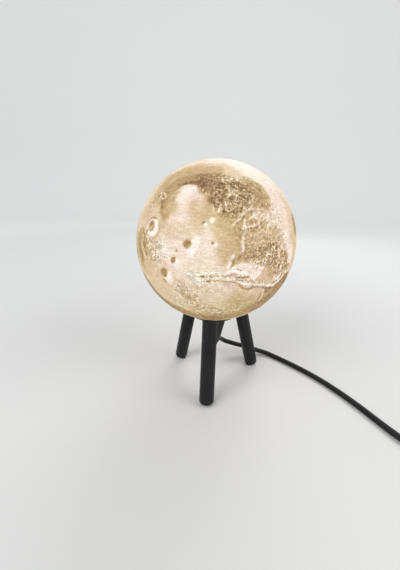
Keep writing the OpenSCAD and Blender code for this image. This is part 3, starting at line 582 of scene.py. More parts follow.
# Each stroke: half width and softness in degrees, the tone it paints from 0 dark brown to 1 pinkish
# white, its strength and its relief in millimetres, and then the points of its path, which these
# first rows hold as azimuth and elevation in degrees
FIRST_STROKES = [
    # Darker towards the west edge, lower down
    (9, 12, 0.46, 0.75, 0, (-164, 12), (-168, -8), (-163, -28), (-150, -44)),
    (8, 6, 0.33, 0.85, 0, (-162, -2), (-165, -14), (-154, -30), (-138, -42)),
    # North plain
    (10, 12, 0.93, 0.8, 0, (-30, 62), (-12, 50), (0, 42), (4, 34)),
    # South east
    (8, 7, 0.36, 0.85, 0.1, (-10, -30), (4, -34), (-8, -45), (-24, -51)),
    # East brown
    (4, 6, 0.42, 0.8, 0, (-9, 19), (2, 15), (12, 21)),
]

# The strokes painted after them: the points of their paths are the photograph's pixels
PHOTO_STROKES = [
    # North plain
    (5.5, 5, 1, 0.95, 0, (214, 158), (232, 161), (246, 168), (258, 177), (268, 188), (275, 200),
     (281, 213), (286, 224)),
    (2.2, 3.5, 0.93, 0.8, 0, (219, 162), (205, 161), (190, 164), (176, 171)),
    (6, 5, 0.88, 0.85, 0, (276, 200), (284, 214), (288, 226)),
    # Left edge
    (4.5, 5, 0.86, 0.6, 0, (157, 186), (149, 198), (143, 212), (140, 226)),
    # Bright shield
    (4.2, 4, 1.18, 0.95, 0.35, (184, 193), (191, 193), (197, 197)),
    (3.8, 6, 0.97, 0.85, 0.1, (189, 203), (188, 214), (184, 226)),
    # Arc band
    (2.6, 4.5, 0.52, 0.8, 0, (160, 198), (165, 186), (174, 176), (188, 171), (203, 169),
     (216, 170)),
    (2.7, 2.4, 0.42, 0.85, 0, (165, 199.6), (169, 190.8), (178, 182), (190, 178.4), (203, 179)),
    # Arc rim
    (0.8, 1.6, 0.24, 0.9, -0.15, (163.3, 206.6), (166.4, 197.2), (174.2, 189.3), (181, 185),
     (189.9, 182.8), (201, 184.4)),
    # Arc foot
    (1.3, 2.2, 0.3, 0.85, 0, (166.5, 196), (163.8, 203), (163.4, 211), (165.5, 217)),
    (1.4, 3.2, 0.5, 0.7, 0, (164.5, 212), (166, 220), (169, 228)),
    # Tan ground
    (2.4, 4, 0.56, 0.8, 0, (168, 208), (171, 198), (176, 191)),
    # Dark fan
    (3.5, 4, 0.26, 0.85, 0, (205, 179), (212, 181), (219, 180)),
    (3, 3.6, 0.22, 0.85, 0, (207, 188), (213, 191), (215, 198)),
    (1.5, 3, 0.2, 0.8, 0, (203, 183), (210, 186)),
    (2.2, 4, 0.38, 0.6, 0, (208, 202), (215, 200)),
    # Tan ground
    (4, 7, 0.62, 0.6, 0, (198, 208), (206, 212), (212, 214)),
    (2.6, 3.5, 0.6, 0.7, 0, (197, 209), (201, 215), (197, 223)),
    # Pink plain
    (8, 8, 1, 0.78, 0, (176, 238), (178, 250), (190, 262), (205, 262), (208, 247)),
    (4, 6, 0.9, 0.7, 0, (222, 262), (228, 266), (214, 268)),
    # Tan ground
    (2.5, 5, 0.66, 0.6, 0, (160, 228), (170, 231), (183, 230), (196, 226)),
    (4.5, 5, 0.54, 0.7, 0, (225, 230), (229, 243), (229, 254)),
    (3.5, 5, 0.58, 0.6, 0, (237, 244), (235, 256)),
    (5, 6, 0.36, 0.7, 0, (141, 240), (142, 252), (146, 262)),
    (2.5, 4, 0.62, 0.6, 0, (144, 214), (150, 209), (152, 203)),
    # Highland
    (7, 6, 0.62, 0.7, 0.1, (226, 190), (234, 192), (226, 202), (238, 200)),
    # Dark fan
    (3.2, 3.2, 0.26, 0.8, 0, (214, 183), (219, 189), (217, 198)),
    # Highland brown
    (6, 5, 0.38, 0.85, 0.1, (250, 190), (257, 194), (258, 202), (250, 203)),
    # Dark patch
    (1.6, 2.5, 0.3, 0.7, 0, (238, 207.5), (241, 208.5)),
    (1.2, 2.2, 0.22, 0.7, 0, (245.5, 201), (246, 206)),
    (1.6, 2.5, 0.3, 0.7, 0, (225, 213.5), (229, 214)),
    (1.6, 2, 0.24, 0.7, 0, (237, 186), (243, 186)),
    (1.4, 1.6, 0.2, 0.7, 0, (231, 184)),
    (1, 1.6, 0.22, 0.7, 0, (230.5, 200)),
    (1.2, 1.6, 0.25, 0.7, 0, (250, 191), (247, 190)),
    # Plateau
    (6, 6, 0.47, 0.75, 0.15, (250, 233), (258, 238), (266, 235)),
    (5, 6, 0.66, 0.6, 0.1, (256, 246), (264, 242)),
    # Plateau south
    (3.5, 4, 0.42, 0.6, 0, (247, 257), (258, 257), (266, 254)),
    # Bright plateau
    (2.5, 3, 1, 0.9, 0.1, (240, 270.5), (248, 268.8), (256, 271.5)),
    # Channel
    (0.35, 0.6, 1.08, 0.9, -0.25, (234.3, 224.2), (240.3, 220.3), (243.6, 214.3), (246.9, 211.6),
     (253.5, 209.4), (259.5, 209.4), (264.4, 209.9)),
    (0.35, 0.6, 1.06, 0.85, -0.2, (244.7, 227.5), (245.8, 219.2), (249, 219.6), (252.4, 217.6)),
    (0.45, 0.5, 1.23, 1, -0.4, (244.7, 228), (249.6, 226.9), (257.6, 225.2), (262.4, 221.2),
     (269.2, 216.4)),
    (0.3, 0.5, 1.03, 0.75, -0.2, (259, 227.4), (264.6, 223), (271, 219)),
    (0.4, 0.7, 0.96, 0.9, -0.3, (244.7, 228), (246.5, 231), (243.4, 236.5), (243.6, 243),
     (243.9, 250.3), (241.4, 254)),
    (0.4, 1, 0.38, 0.6, -0.2, (238, 258), (240.5, 253)),
    (0.65, 0.7, 0.98, 0.95, -0.3, (233.5, 257), (231.5, 260.7), (230, 265), (228.8, 268.3)),
    (0.3, 0.9, 0.38, 0.6, -0.2, (230, 259), (233, 262), (232, 267)),
    # Tan ground
    (3.5, 4, 0.42, 0.65, 0, (236, 216), (248, 210), (262, 212), (254, 221)),
    # Channel isle
    (2.4, 1, 0.78, 0.85, 0.1, (257.9, 213.8)),
    (0.35, 0.6, 1, 0.8, -0.15, (254, 211), (253.6, 215.5), (256, 218)),
    # Channel
    (0.55, 0.7, 1.03, 0.75, -0.15, (268, 227), (273, 222), (276, 224)),
    # East cream
    (1.6, 3, 0.86, 0.75, 0, (267, 216), (271, 222)),
    # Chaos
    (5, 4, 0.48, 0.6, 0, (271, 250), (276, 258), (281, 262), (276, 268)),
    (3, 3, 0.38, 0.7, 0, (284, 257), (287, 262)),
    # Outflow
    (0.4, 1, 0.92, 0.55, -0.3, (257.9, 276.6), (261.7, 271.6), (264.4, 266.7), (266.6, 260.7),
     (268.8, 254.6)),
    (0.6, 1.1, 0.95, 0.75, -0.25, (279, 275), (281.5, 266), (283.5, 259)),
    (0.9, 1.4, 1, 0.8, -0.25, (275, 277.5), (280, 278.5), (286, 273)),
    # East white
    (2.5, 3, 1, 0.85, 0, (287, 236), (289, 243), (290.2, 250)),
    (2, 2, 1.05, 0.85, 0, (290.5, 256.5), (289.5, 259)),
    # East brown
    (3, 3, 0.36, 0.85, 0, (293.5, 221), (295, 229)),
    # East tan
    (3, 4, 0.7, 0.65, 0, (289, 212), (291, 224), (292, 236)),
    # South plain
    (6, 8, 0.66, 0.6, 0, (206, 300), (222, 303), (238, 300)),
    (2.5, 4, 0.9, 0.7, 0, (218, 287), (232, 288), (246, 292)),
    (5, 5, 0.72, 0.5, 0, (236, 290), (248, 293)),
    # South brown
    (4, 6, 0.48, 0.5, 0, (238, 300), (246, 303)),
    # Dark limb
    (5, 3, 0.34, 0.85, 0.1, (267, 293), (263, 300), (272, 289)),
    (6, 3, 0.32, 0.85, 0.1, (281, 283), (276, 291), (267, 300), (258, 307)),
    (2.5, 2, 0.24, 0.9, 0, (285, 277), (283, 284)),
    # Limb line
    (0.4, 0.9, 0.88, 0.8, 0.1, (262.8, 289), (261.7, 295.5), (257.5, 301), (253.8, 303)),
    # Lower left rim
    (1.6, 3, 0.28, 0.9, 0, (137.5, 252), (141, 268), (149.5, 283), (160, 296), (172, 306)),
    (5, 5, 0.36, 0.85, 0, (172, 306), (184, 312), (200, 317), (216, 318)),
    # Tan ground
    (3, 4, 0.55, 0.6, 0, (196, 309), (212, 313), (228, 311)),
    # Bottom rim
    (5, 5, 0.38, 0.85, 0, (216, 318), (232, 316), (246, 311), (256, 306)),
    # Lower left ground
    (5, 6, 0.74, 0.7, 0, (150, 268), (158, 284), (170, 296)),
    # Cream ground
    (7, 7, 0.84, 0.6, 0, (184, 286), (200, 294), (214, 292)),
    # Labyrinth ground
    (3, 4, 0.95, 0.7, 0, (194, 276), (204, 277), (214, 277)),
    # Canyon
    (0.42, 0.5, 1.18, 1, -0.2, (201, 281), (208, 277), (212, 281), (218, 279)),
    (0.62, 0.5, 1.18, 1, -0.35, (190, 274), (198, 275.5), (206, 274), (214, 274.4), (225, 274.4),
     (233, 271), (240, 272), (246.9, 274.8), (255.7, 277.9)),
    (0.72, 0.5, 1.18, 1, -0.3, (233.2, 268.9), (236, 268), (241, 270.5), (247, 274.4)),
    (0.82, 0.5, 1.18, 1, -0.5, (206, 279.5), (214, 278.2), (227.7, 279.3), (238.7, 281),
     (244.7, 283.7), (251.3, 284.8), (262.2, 285.3), (271.6, 285.3), (277, 282), (283, 276)),
    (0.42, 0.5, 1.18, 1, -0.2, (192, 277), (199, 279.4), (206, 284)),
    (0.42, 0.5, 1.18, 1, -0.2, (213, 274.4), (214.6, 278.6)),
    (0.42, 0.5, 1.18, 1, -0.2, (222, 275), (224, 279)),
    # Canyon shadow
    (0.25, 0.7, 0.33, 0.85, 0, (200, 277), (214, 276.5), (226, 276.6)),
    (0.3, 0.7, 0.28, 0.85, 0, (236, 277.3), (242, 277.4)),
    (0.2, 0.7, 0.38, 0.65, 0, (205, 281.5), (214, 280.6), (227, 281.8), (238, 283)),
    (0.3, 1, 0.33, 0.75, 0, (239, 284.5), (243, 288), (246, 289), (252, 288.3)),
    (0.25, 0.8, 0.26, 0.9, 0, (252, 286.6), (262, 287), (270, 287.6)),
    (0.1, 0.5, 0.2, 0.9, 0, (237, 269), (241.5, 270.8)),
    (0.1, 0.5, 0.2, 0.9, 0, (243, 277.4), (249, 276.6)),
    (0.1, 0.5, 0.2, 0.9, 0, (236, 280), (243, 281.2)),
    # Great shield
    (5, 1, 0.9, 0.95, 1.2, (152.6, 227.4)),
    # Shield outline
    (0.15, 0.8, 0.4, 0.8, 0, (148.4, 234.6), (147.2, 228), (148.8, 221), (152.4, 217.6),
     (156.6, 218.6), (159, 224), (158.6, 231), (155.6, 235.8), (151.6, 237)),
    # Shield bright: a painted highlight on the great shield's side towards the light
    (0.7, 1, 1.2, 1, 0, (156.6, 222), (156.6, 229), (153.4, 233.6), (150.6, 232)),
    # Shield white: painted highlights on the shields' sides towards the light
    (1.4, 1.5, 1.2, 0.95, 0, (197, 240), (194.4, 246), (190, 253)),
    (1.4, 1.6, 1.05, 0.85, 0, (179.4, 264.6), (178, 266)),
    (1.8, 1.5, 1.1, 0.9, 0, (169.6, 277.4), (168, 279)),
    (2.6, 3.5, 1.02, 0.8, 0, (164.3, 249.7), (161, 252)),
    # Shield 1
    (1.5, 1.8, 0.34, 0.9, 0.5, (187.8, 244)),
    # Shield 2
    (1.5, 1.2, 0.36, 0.9, 0.5, (174.2, 260.6)),
    # Shield bright: a painted highlight on the side towards the light
    (0.5, 0.8, 1.15, 0.9, 0, (177.2, 259.4), (177.4, 262), (175.6, 264)),
    # Shield 3
    (1.9, 1.8, 0.42, 0.9, 0.5, (165.2, 272.6)),
    # Shield bright: a painted highlight on the side towards the light
    (0.7, 0.9, 1.15, 0.9, 0, (169.6, 273), (169, 276.4), (166.6, 278.6)),
    # Small white
    (0.6, 0.8, 1.15, 0.95, 0.3, (205, 224.4)),
    # Small dot
    (0.4, 0.8, 0.3, 0.7, 0, (203.4, 222.2)),
    # Small white
    (0.9, 1, 1.1, 0.9, 0.3, (212, 220)),
    (0.8, 0.9, 1.1, 0.9, 0.3, (214.8, 245)),
    # Small dot
    (0.4, 0.8, 0.3, 0.7, 0, (212.8, 243)),
    # Spot
    (0.8, 0.9, 0.26, 0.85, -0.1, (165.6, 275.2)),
    (0.9, 1.2, 0.42, 0.7, 0, (165, 280.5)),
    # Small dot
    (0.5, 0.7, 0.45, 0.8, 0, (176.5, 250.4)),
    # Ring crater
    (1.8, 1, 0.36, 0.8, 0, (163.3, 195.6)),
    (0.2, 0.6, 0.88, 0.75, 0.15, (165.8, 195.6), (165.1, 197.8), (163.3, 198.7), (161.5, 197.8),
     (160.8, 195.6), (161.5, 193.4), (163.3, 192.5), (165.1, 193.4), (165.8, 195.6)),
    # Ring ridge
    (0.4, 0.8, 0.35, 0.6, 0, (155, 200.6), (160, 195.5)),
    # Left streak
    (0.5, 1.2, 0.3, 0.7, 0, (139.5, 243), (140.5, 250), (143.5, 259)),
    (0.5, 1, 0.3, 0.7, 0, (144.5, 241), (145.5, 248), (147, 254)),
    (0.4, 1, 0.95, 0.6, 0, (142, 240), (143, 249), (145.5, 257)),
    (0.4, 1, 0.5, 0.5, 0, (155, 246), (157, 250)),
    # Tan ground
    (2, 3, 0.88, 0.6, 0, (156, 256), (160, 262)),
    # Dots south
    (1, 1.6, 0.45, 0.5, 0, (181.5, 288.5), (184, 293), (188, 298)),
    (1.2, 2, 0.5, 0.5, 0, (190, 297), (194, 302), (198, 306)),
]

# Rough ground: half width and softness in degrees, relief in millimetres, tone swing, scale, and
# then the points of its path, as the photograph's pixels
ROUGH = [
    # Highland
    (6.5, 4, 0.35, 0.3, 15, (226, 186), (236, 190), (226, 200), (240, 200)),
    # Dark fan
    (6, 5, 0.16, 0.14, 22, (206, 184), (216, 186)),
    # Highland brown
    (6, 4, 0.14, 0.13, 26, (250, 186), (258, 197), (250, 203)),
    # Channels
    (5, 4, 0.18, 0.14, 20, (236, 216), (250, 214), (262, 214)),
    # Labyrinth
    (2.6, 2.5, 0.34, 0.17, 30, (194, 276), (205, 278), (213, 276.5)),
    # Canyon walls
    (1.8, 2.2, 0.26, 0.15, 30, (218, 277), (236, 278), (250, 281), (266, 286)),
    # Chaos
    (5.5, 4, 0.35, 0.26, 18, (262, 256), (272, 252), (279, 262), (283, 270)),
    # South dots
    (4.5, 4, 0.16, 0.18, 30, (182, 290), (192, 300), (200, 308), (215, 312)),
    # Dark limb
    (5, 3, 0.2, 0.15, 24, (278, 284), (272, 290), (262, 301)),
    # South rim
    (4, 4, 0.14, 0.12, 26, (222, 312), (238, 308)),
    # Left streaks
    (5, 3.5, 0.18, 0.2, 22, (146, 238), (150, 250), (158, 252)),
    # Plateau
    (7, 4, 0.16, 0.14, 24, (250, 232), (262, 236), (256, 250)),
    # East ground
    (3.2, 4, 0.1, 0.14, 26, (268, 204), (276, 218), (280, 232), (282, 244)),
    # North west
    (2.6, 2.5, 0.14, 0.14, 22, (152, 204), (157, 198), (163, 192)),
    # Shield skirts
    (2.2, 2.5, 0.16, 0.07, 22, (142, 224), (145, 236), (156, 239), (161, 230)),
    # South edge
    (3, 4, 0.12, 0.12, 26, (176, 300), (190, 309), (208, 314), (232, 312)),
    # South ground
    (3, 5, 0.08, 0.08, 26, (190, 290), (204, 286), (226, 288), (244, 291)),
]

# The side that faces the camera has finer columns: 282 over 156 degrees, and 152 over the rest
FINE_FROM, FINE_TO, FINE_COLUMNS, COARSE_COLUMNS = -158.0, -2.0, 282, 152
INNER_ROWS = 14
CRATER_COUNT = 260
mouth_angle = -math.degrees(math.acos(MOUTH_R / GLOBE_R))
inner_mouth_angle = -math.degrees(math.acos(MOUTH_R / (GLOBE_R - GLOBE_WALL)))
turns_round = np.concatenate([
    np.linspace(FINE_FROM, FINE_TO, FINE_COLUMNS, endpoint=False),
    np.linspace(FINE_TO, FINE_FROM + 360, COARSE_COLUMNS, endpoint=False)])
heights = np.concatenate([np.linspace(mouth_angle, -50, 16, endpoint=False),
                          np.linspace(-50, 62, 176, endpoint=False), np.linspace(62, 90, 24)])
OUTER_ROWS = len(heights)
turn_grid, height_grid = np.meshgrid(turns_round, heights)
places = outward(np.stack([turn_grid, height_grid], -1)).reshape(-1, 3)

wobble = layered(places, 14, 3, 11)
fine_wobble = layered(places, 45, 2, 21)
relief = 0.14 * layered(places, 3.2, 5, 31)
tone = 0.70 + 0.13 * layered(places, 1.6, 4, 41) + 0.05 * layered(places, 9, 3, 51)

# The far side: dark provinces with ragged edges, a bright basin, a pale north and cratered ground
far_side = smoothstep(-0.12, 0.12, places @ outward((96, 5)))
bend = np.stack([layered(places, 3.5, 4, seed) for seed in (81, 91, 101)], 1)
ground = unit(places + 0.11 * bend * far_side[:, None])
province = smoothstep(0.0, 0.20, layered(ground, 1.7, 5, 61))
basin = 1 - smoothstep(11, 16, angle_to(ground, [(126, -33)]))
north = smoothstep(34, 58, height_grid.ravel() + 50 * bend[:, 0])
tone += far_side * (0.10 * layered(ground, 7, 5, 111) - 0.36 * province * (1 - basin))
tone += 0.85 * far_side * np.maximum(0.8 * basin, north) * (0.90 - tone)
relief -= 0.9 * far_side * basin
rng = np.random.default_rng(7)
crater_turns = rng.uniform(-10, 200, CRATER_COUNT)
crater_heights = np.degrees(np.arcsin(rng.uniform(-0.9, 0.72, CRATER_COUNT)))
crater_radii = 1.7 + 6.0 * rng.random(CRATER_COUNT) ** 5
pits = craters(places, np.stack([crater_turns, crater_heights], 1), crater_radii, 0.6) * far_side
pits *= 1 - 0.8 * np.maximum(north, basin)
relief += pits
# The craters are painted lighter on their rims and darker in their floors: painted light and shade
# that follow their relief
tone += 0.30 * pits

strokes = FIRST_STROKES + from_photo(PHOTO_STROKES)
for half_width, softness, target, strength, rise, *path in strokes:
    d = angle_to(ground, path) + min(softness, 2.5) * (0.35 * wobble + 0.25 * fine_wobble)
    cover = 1 - smoothstep(half_width, half_width + softness, d)
    tone += strength * cover * (target - tone)
    relief += rise * cover

# How rugged the ground is: least on plains, more where it is dark and on the far side
rough = np.maximum(0.16 + 0.20 * far_side, 0.5 * smoothstep(0.52, 0.36, tone))
for half_width, softness, rise, swing, scale, *path in from_photo(ROUGH):
    cover = 1 - smoothstep(half_width, half_width + softness, angle_to(places, path) + wobble)
    crests = layered(places, scale, 3, int(scale) * 7, ridged=True) - 0.25
    rough = np.maximum(rough, cover * min(1, swing / 0.25))
    relief += rise * cover * crests
    tone += swing * cover * crests

# The great shield's hollow summit, and a smaller, darker pit in it
for middle, radius, depth, target in (
        ((-126.8, 16.8), 2.7, 0.8, 0.52), ((-127.4, 18.2), 0.8, 0.2, 0.26)):
    d = angle_to(places, [middle]) + 0.3 * fine_wobble
    cover = 1 - smoothstep(radius, radius + 1.1, d)
    tone += 0.9 * cover * (target - tone)
    relief -= depth * cover

# Light from the right and below, as in the photograph, brings the relief out in the tint
shape = turn_grid.shape
relief *= 1 - smoothstep(-44, -52, height_grid.ravel()) * (relief > 0)
relief_grid = relief.reshape(shape)
round_step = np.radians(np.gradient(np.concatenate([turns_round[-1:] - 360, turns_round,
                                                    turns_round[:1] + 360])))[1:-1]
slope_round = (np.roll(relief_grid, -1, 1) - np.roll(relief_grid, 1, 1)) / (
    2 * GLOBE_R * round_step * np.maximum(0.08, np.cos(np.radians(height_grid))))
slope_up = np.gradient(relief_grid, np.radians(heights), axis=0) / GLOBE_R
a, e = np.radians(turn_grid), np.radians(height_grid)
light_way = unit((0.80, 0.15, -0.58))
light_round = -np.sin(a) * light_way[0] + np.cos(a) * light_way[1]
light_up = np.cos(e) * light_way[2] - np.sin(e) * (
    np.cos(a) * light_way[0] + np.sin(a) * light_way[1])
shade = -(slope_round * light_round + slope_up * light_up).ravel()
tone = np.clip(tone + np.clip(0.9 * shade, -0.34, 0.30), 0.02, 1.2)

# Tone to colour, and a slow drift between a pinker and a greener cream
TONES = (0.0, 0.2, 0.4, 0.55, 0.7, 0.85, 1.0, 1.2)
RED = (88, 128, 170, 200, 222, 238, 250, 255)
GREEN = (61, 96, 138, 173, 199, 218, 234, 250)
BLUE = (31, 55, 90, 128, 164, 197, 220, 238)


def linear(channel):
    """A display value from 0 to 255 as light: c / 12.92 if c < 0.04, else ((c + 0.055) /
    1.055)^2.4."""
    c = np.asarray(channel) / 255
    return np.where(c < 0.04045, c / 12.92, ((c + 0.055) / 1.055) ** 2.4)


drift = layered(places, 2.6, 2, 71)
tint = np.stack([linear(np.interp(tone, TONES, RED) + 2 * drift),
                 linear(np.interp(tone, TONES, GREEN) - 4 * drift),
                 linear(np.interp(tone, TONES, BLUE) + 4 * drift),
                 np.ones(len(tone))], 1)

inner_angles = np.linspace(90, inner_mouth_angle, INNER_ROWS)
inner = (GLOBE_R - GLOBE_WALL) * outward(
    np.stack(np.meshgrid(turns_round, inner_angles), -1)).reshape(-1, 3)
outer = places * (GLOBE_R + relief)[:, None]
globe_points = np.vstack([outer, inner]) + (0, 0, GLOBE_Z)
columns = FINE_COLUMNS + COARSE_COLUMNS
outer_faces = grid_faces(OUTER_ROWS, columns)
inner_faces = grid_faces(INNER_ROWS, columns) + len(outer)
first = np.arange(columns)
last_inner = len(outer) + (INNER_ROWS - 1) * columns + first
rim_faces = np.stack([last_inner, np.roll(last_inner, -1), np.roll(first, -1), first], 1)

# Globe's finish: layer lines and grain over the painted tint, and where the ground is rough a mottle
# and a net of crests, which are in its bumps too. The crests carry painted highlights and the ground
# between them painted shade, and the globe glows with painted light that stands in for the bulb
# shining through it
tree, shader, where = blank("globe_print")
painted = add(tree, "VertexColor", layer_name="tint").outputs["Color"]
region = add(tree, "Attribute", attribute_name="rough").outputs["Fac"]
mottle = noise_of(tree, where, 430, 3.0, 0.6)
flat_place = add(tree, "Mapping", {"Vector": where, "Scale": (0.35, 0.35, 1.6)}).outputs["Vector"]
layer_lines = noise_of(tree, flat_place, 430, 3.0, 0.6)
grain = noise_of(tree, where, 1500, 4.0, 0.6)
vein = math_of(tree, "SUBTRACT", noise_of(tree, where, 230, 4.0, 0.6), 0.5)
crest = spread(tree, math_of(tree, "ABSOLUTE", vein), 1, 0, 0.0, 0.05)
surface = times(tree, painted, shades(tree, layer_lines, (0.92, 0.91, 0.89), (1.07, 1.07, 1.08),
                                      0.4, 0.6))
surface = times(tree, surface, shades(tree, grain, (0.84, 0.82, 0.79), (1.16, 1.16, 1.16)))
# Painted shade between the crests, and painted highlights on them
valley_shade = times(tree, surface, (0.62, 0.58, 0.52, 1))
ridge = mix(tree, 0.32, times(tree, surface, (1.66, 1.68, 1.72, 1)), (1.05, 0.93, 0.72, 1))
rugged = times(tree, mix(tree, crest, valley_shade, ridge),
               shades(tree, mottle, (0.72, 0.69, 0.64), (1.26, 1.27, 1.29), 0.4, 0.6))
surface = mix(tree, region, surface, rugged)
put(tree, shader, {
    "Base Color": times(tree, surface, (0.42, 0.42, 0.42, 1)),
    "Emission Color": surface, "Emission Strength": GLOBE_GLOW,
    "Roughness": spread(tree, grain, 0.52, 0.72),
    "Normal": bumped(tree, (crest, region, 0.0003), (mottle, 1.0, 0.0004), (grain, 1.0, 0.00008))})

globe = make("planet_globe", globe_points, [outer_faces, inner_faces, rim_faces], "globe_print",
             body="globe", replaces=("globe_shell",), around=True)
colours = globe.data.color_attributes.new("tint", "FLOAT_COLOR", "POINT")
colours.data.foreach_set("color", np.vstack([tint, np.tile((0.80, 0.62, 0.40, 1.0),
                                                          (len(inner), 1))]).ravel())
regions = globe.data.attributes.new("rough", "FLOAT", "POINT")
regions.data.foreach_set("value", np.concatenate([rough, np.zeros(len(inner))]))


# Stand and lampholder

def inset(outline, distance):
    """A closed, anticlockwise outline moved inwards by a distance along its own normals."""
    way = unit(np.roll(outline, -1, 0) - np.roll(outline, 1, 0))
    return outline + distance * np.stack([-way[:, 1], way[:, 0]], 1)


def loft(outline, levels):
    """Points and faces of a solid: at each level (inset, height) the outline is inset by that much.
    The first and last rings are closed flat."""
    rings = [np.column_stack([inset(outline, step), np.full(len(outline), z)])
             for step, z in levels]
    return np.vstack(rings), tube_faces(len(levels), len(outline))


def on_way(points, origin, degrees):
    """Points turned round +Z by degrees and moved to an origin."""
    return turn(points, degrees) + np.asarray(origin, float)


def cut(piece, points, faces):
    """Takes a closed shape, given in millimetres, out of a piece and keeps the result as its mesh.
    The shape's faces are turned outwards first, because with them inwards the cut adds it
    instead."""
    cutter = show("cutter", mesh_of("cutter", points, faces, around=True))
    modifier = piece.modifiers.new("cut", "BOOLEAN")
    modifier.operation = "DIFFERENCE"
    modifier.solver = "EXACT"
    modifier.object = cutter
    result = bpy.data.meshes.new_from_object(
        piece.evaluated_get(bpy.context.evaluated_depsgraph_get()))
    piece.modifiers.clear()
    piece.data = result
    bpy.data.objects.remove(cutter)
    result.shade_smooth()
    result.set_sharp_from_angle(angle=math.radians(34))


def leg_points(angle, columns=72):
    """A leg: a rod of LEG_R with a tip rounded to LEG_TIP_R, leaning inwards. Its top ring and cap
    lie on the sphere of ARM_OUT_R round the globe's centre, where p + s w meets it at s = -b -
    (b^2 - c)^0.5, with b = w . q and c = q . q - R^2 for q = p - centre."""
    flat = LEG_R - LEG_TIP_R
    arc = np.linspace(0, math.pi / 2, 10)
    tip = [(0.01, 0), (flat * 0.6, 0)] + [
        (flat + LEG_TIP_R * math.sin(t), LEG_TIP_R * (1 - math.cos(t))) for t in arc]
    a = np.linspace(0, 2 * math.pi, columns, endpoint=False)
    across = np.stack([np.cos(a), np.sin(a)], 1)

    def placed(r, s):
        return lean(np.column_stack([r[:, None] * across, s]), -LEG_LEAN) + (FOOT_RING_R, 0, 0)

    way = lean(np.array([[0, 0, 1.0]]), -LEG_LEAN)[0]
    centre = np.array([0, 0, GLOBE_Z])

    def reach(r):
        q = placed(r, np.zeros(columns)) - centre
        b = q @ way
        return -b - np.sqrt(b * b - np.sum(q * q, 1) + ARM_OUT_R ** 2)

    rows = [placed(np.full(columns, r), np.full(columns, LEG_START + s)) for r, s in tip]
    top = reach(np.full(columns, LEG_R))
    foot = LEG_START + LEG_TIP_R
    rows += [placed(np.full(columns, LEG_R), foot + (top - foot) * t)
             for t in np.linspace(0.04, 0.995, 26)]
    rows += [placed(np.full(columns, r), reach(np.full(columns, r)))
             for r in (LEG_R - 0.15, 5, 2, 0.01)]
    points = np.vstack(rows)
    points[:, 2] = np.maximum(points[:, 2], PAD_T)
    return turn(points, angle), [grid_faces(len(rows), columns)]


for name, angle in LEG_ANGLES.items():
    make(name + "_rod", *leg_points(angle), "leg_black", replaces=(name,), sharp=50, weld=0.05)

cap_profile = rounded([
    (4.25, CAP_Z), (CAP_FOOT_R, CAP_Z), (CAP_TOP_R, SEAT_Z), (11.2, SEAT_Z), (11.2, 71.8),
    (8.6, 71.8), (CAP_FOOT_R - 1.8, CAP_Z + 3), (4.25, CAP_Z + 3)],
    [0.3, 1.5, 0.5, 0.4, 0.3, 0.3, 0.6, 0.3])
make("lampholder_cap", *revolve(cap_profile, 128), "holder_black", replaces=("holder_cap",),
     around=True)

relief_s, relief_line = relief_path(150)
relief_line = relief_line[relief_s >= 0]
relief_s = relief_s[relief_s >= 0]
relief_end = relief_s[-1]
neck = np.array([[0, 0, z] for z in np.linspace(57, CAP_Z + 0.3, 6)])
ribs = RIB_DEEP * np.clip(1.6 * np.cos(2 * math.pi * relief_s / RIB_PITCH) - 0.2, 0, 1) * (
    smoothstep(2.2, 3.4, relief_s)) * (1 - smoothstep(relief_end - 2.6, relief_end - 1.6, relief_s))
relief_r = (ELBOW_R + (ELBOW_END_R - ELBOW_R) * smoothstep(8, relief_end, relief_s) - ribs
            - 0.45 * np.clip((relief_s - relief_end + 1.0), 0, 1) ** 2)
make("lead_relief", *sweep(np.vstack([neck, relief_line]),
                           np.concatenate([np.full(len(neck), 4.15), relief_r]), 40,
                           up=turn((0, 1, 0), ELBOW_AT)),
     "relief_rubber", replaces=("strain_relief",), sharp=60)


# Bulb

a = np.linspace(0, 2 * math.pi, THREAD_RING, endpoint=False)[None, :]
h = np.linspace(0, BULB_CAP_LEN, 90)[:, None]
thread = smoothstep(1.0, 2.4, h) * (1 - smoothstep(BULB_CAP_LEN - 3.2, BULB_CAP_LEN - 2, h))
r = BULB_CAP_R - THREAD_DEEP * thread * (0.5 - 0.5 * np.cos(2 * math.pi * (h / THREAD_PITCH) - a))
r = r - 1.0 * (1 - smoothstep(0, 1.1, h)) ** 2
inner_h = np.array([BULB_CAP_LEN, 1.0, 1.0])[:, None] + 0 * a
inner_r = np.array([BULB_CAP_R - 1.2, BULB_CAP_R - 1.2, 0.01])[:, None] + 0 * a
r = np.vstack([np.full((1, THREAD_RING), 0.01), r + 0 * a, inner_r])
h = np.vstack([np.zeros((1, THREAD_RING)), h + 0 * a, inner_h])
a = np.broadcast_to(a, r.shape)
make("bulb_screw_cap", np.stack([r * np.cos(a), r * np.sin(a), BULB_CAP_Z + h], -1),
     [grid_faces(len(r), THREAD_RING)], "bulb_metal", body="bulb", replaces=("bulb_cap",), sharp=50,
     weld=0.03, around=True)

rim_z = DOME_Z - DOME_DROP
rim_r = math.sqrt(DOME_R ** 2 - DOME_DROP ** 2)
body_profile = rounded([
    (0.01, BULB_BODY_Z), (COLLAR_R, BULB_BODY_Z), (COLLAR_R, BULB_BODY_Z + 3),
    (10.4, BULB_BODY_Z + 9), (WAIST_R, BULB_BODY_Z + WAIST_UP), (rim_r, rim_z - 1.1),
    (rim_r - 0.25, rim_z - 0.5), (rim_r, rim_z), (rim_r - BODY_WALL, rim_z),
    (WAIST_R - BODY_WALL, BULB_BODY_Z + WAIST_UP), (9, BULB_BODY_Z + 10),
    (0.01, BULB_BODY_Z + 10)], [0, 0.6, 2.4, 6, 8, 0.3, 0.2, 0.2, 0.2, 6, 1, 0], 8, closed=False)
make("bulb_housing", *revolve(body_profile, 128, closed=False), "bulb_plastic", body="bulb",
     replaces=("bulb_body",), sharp=50, weld=0.03, around=True)

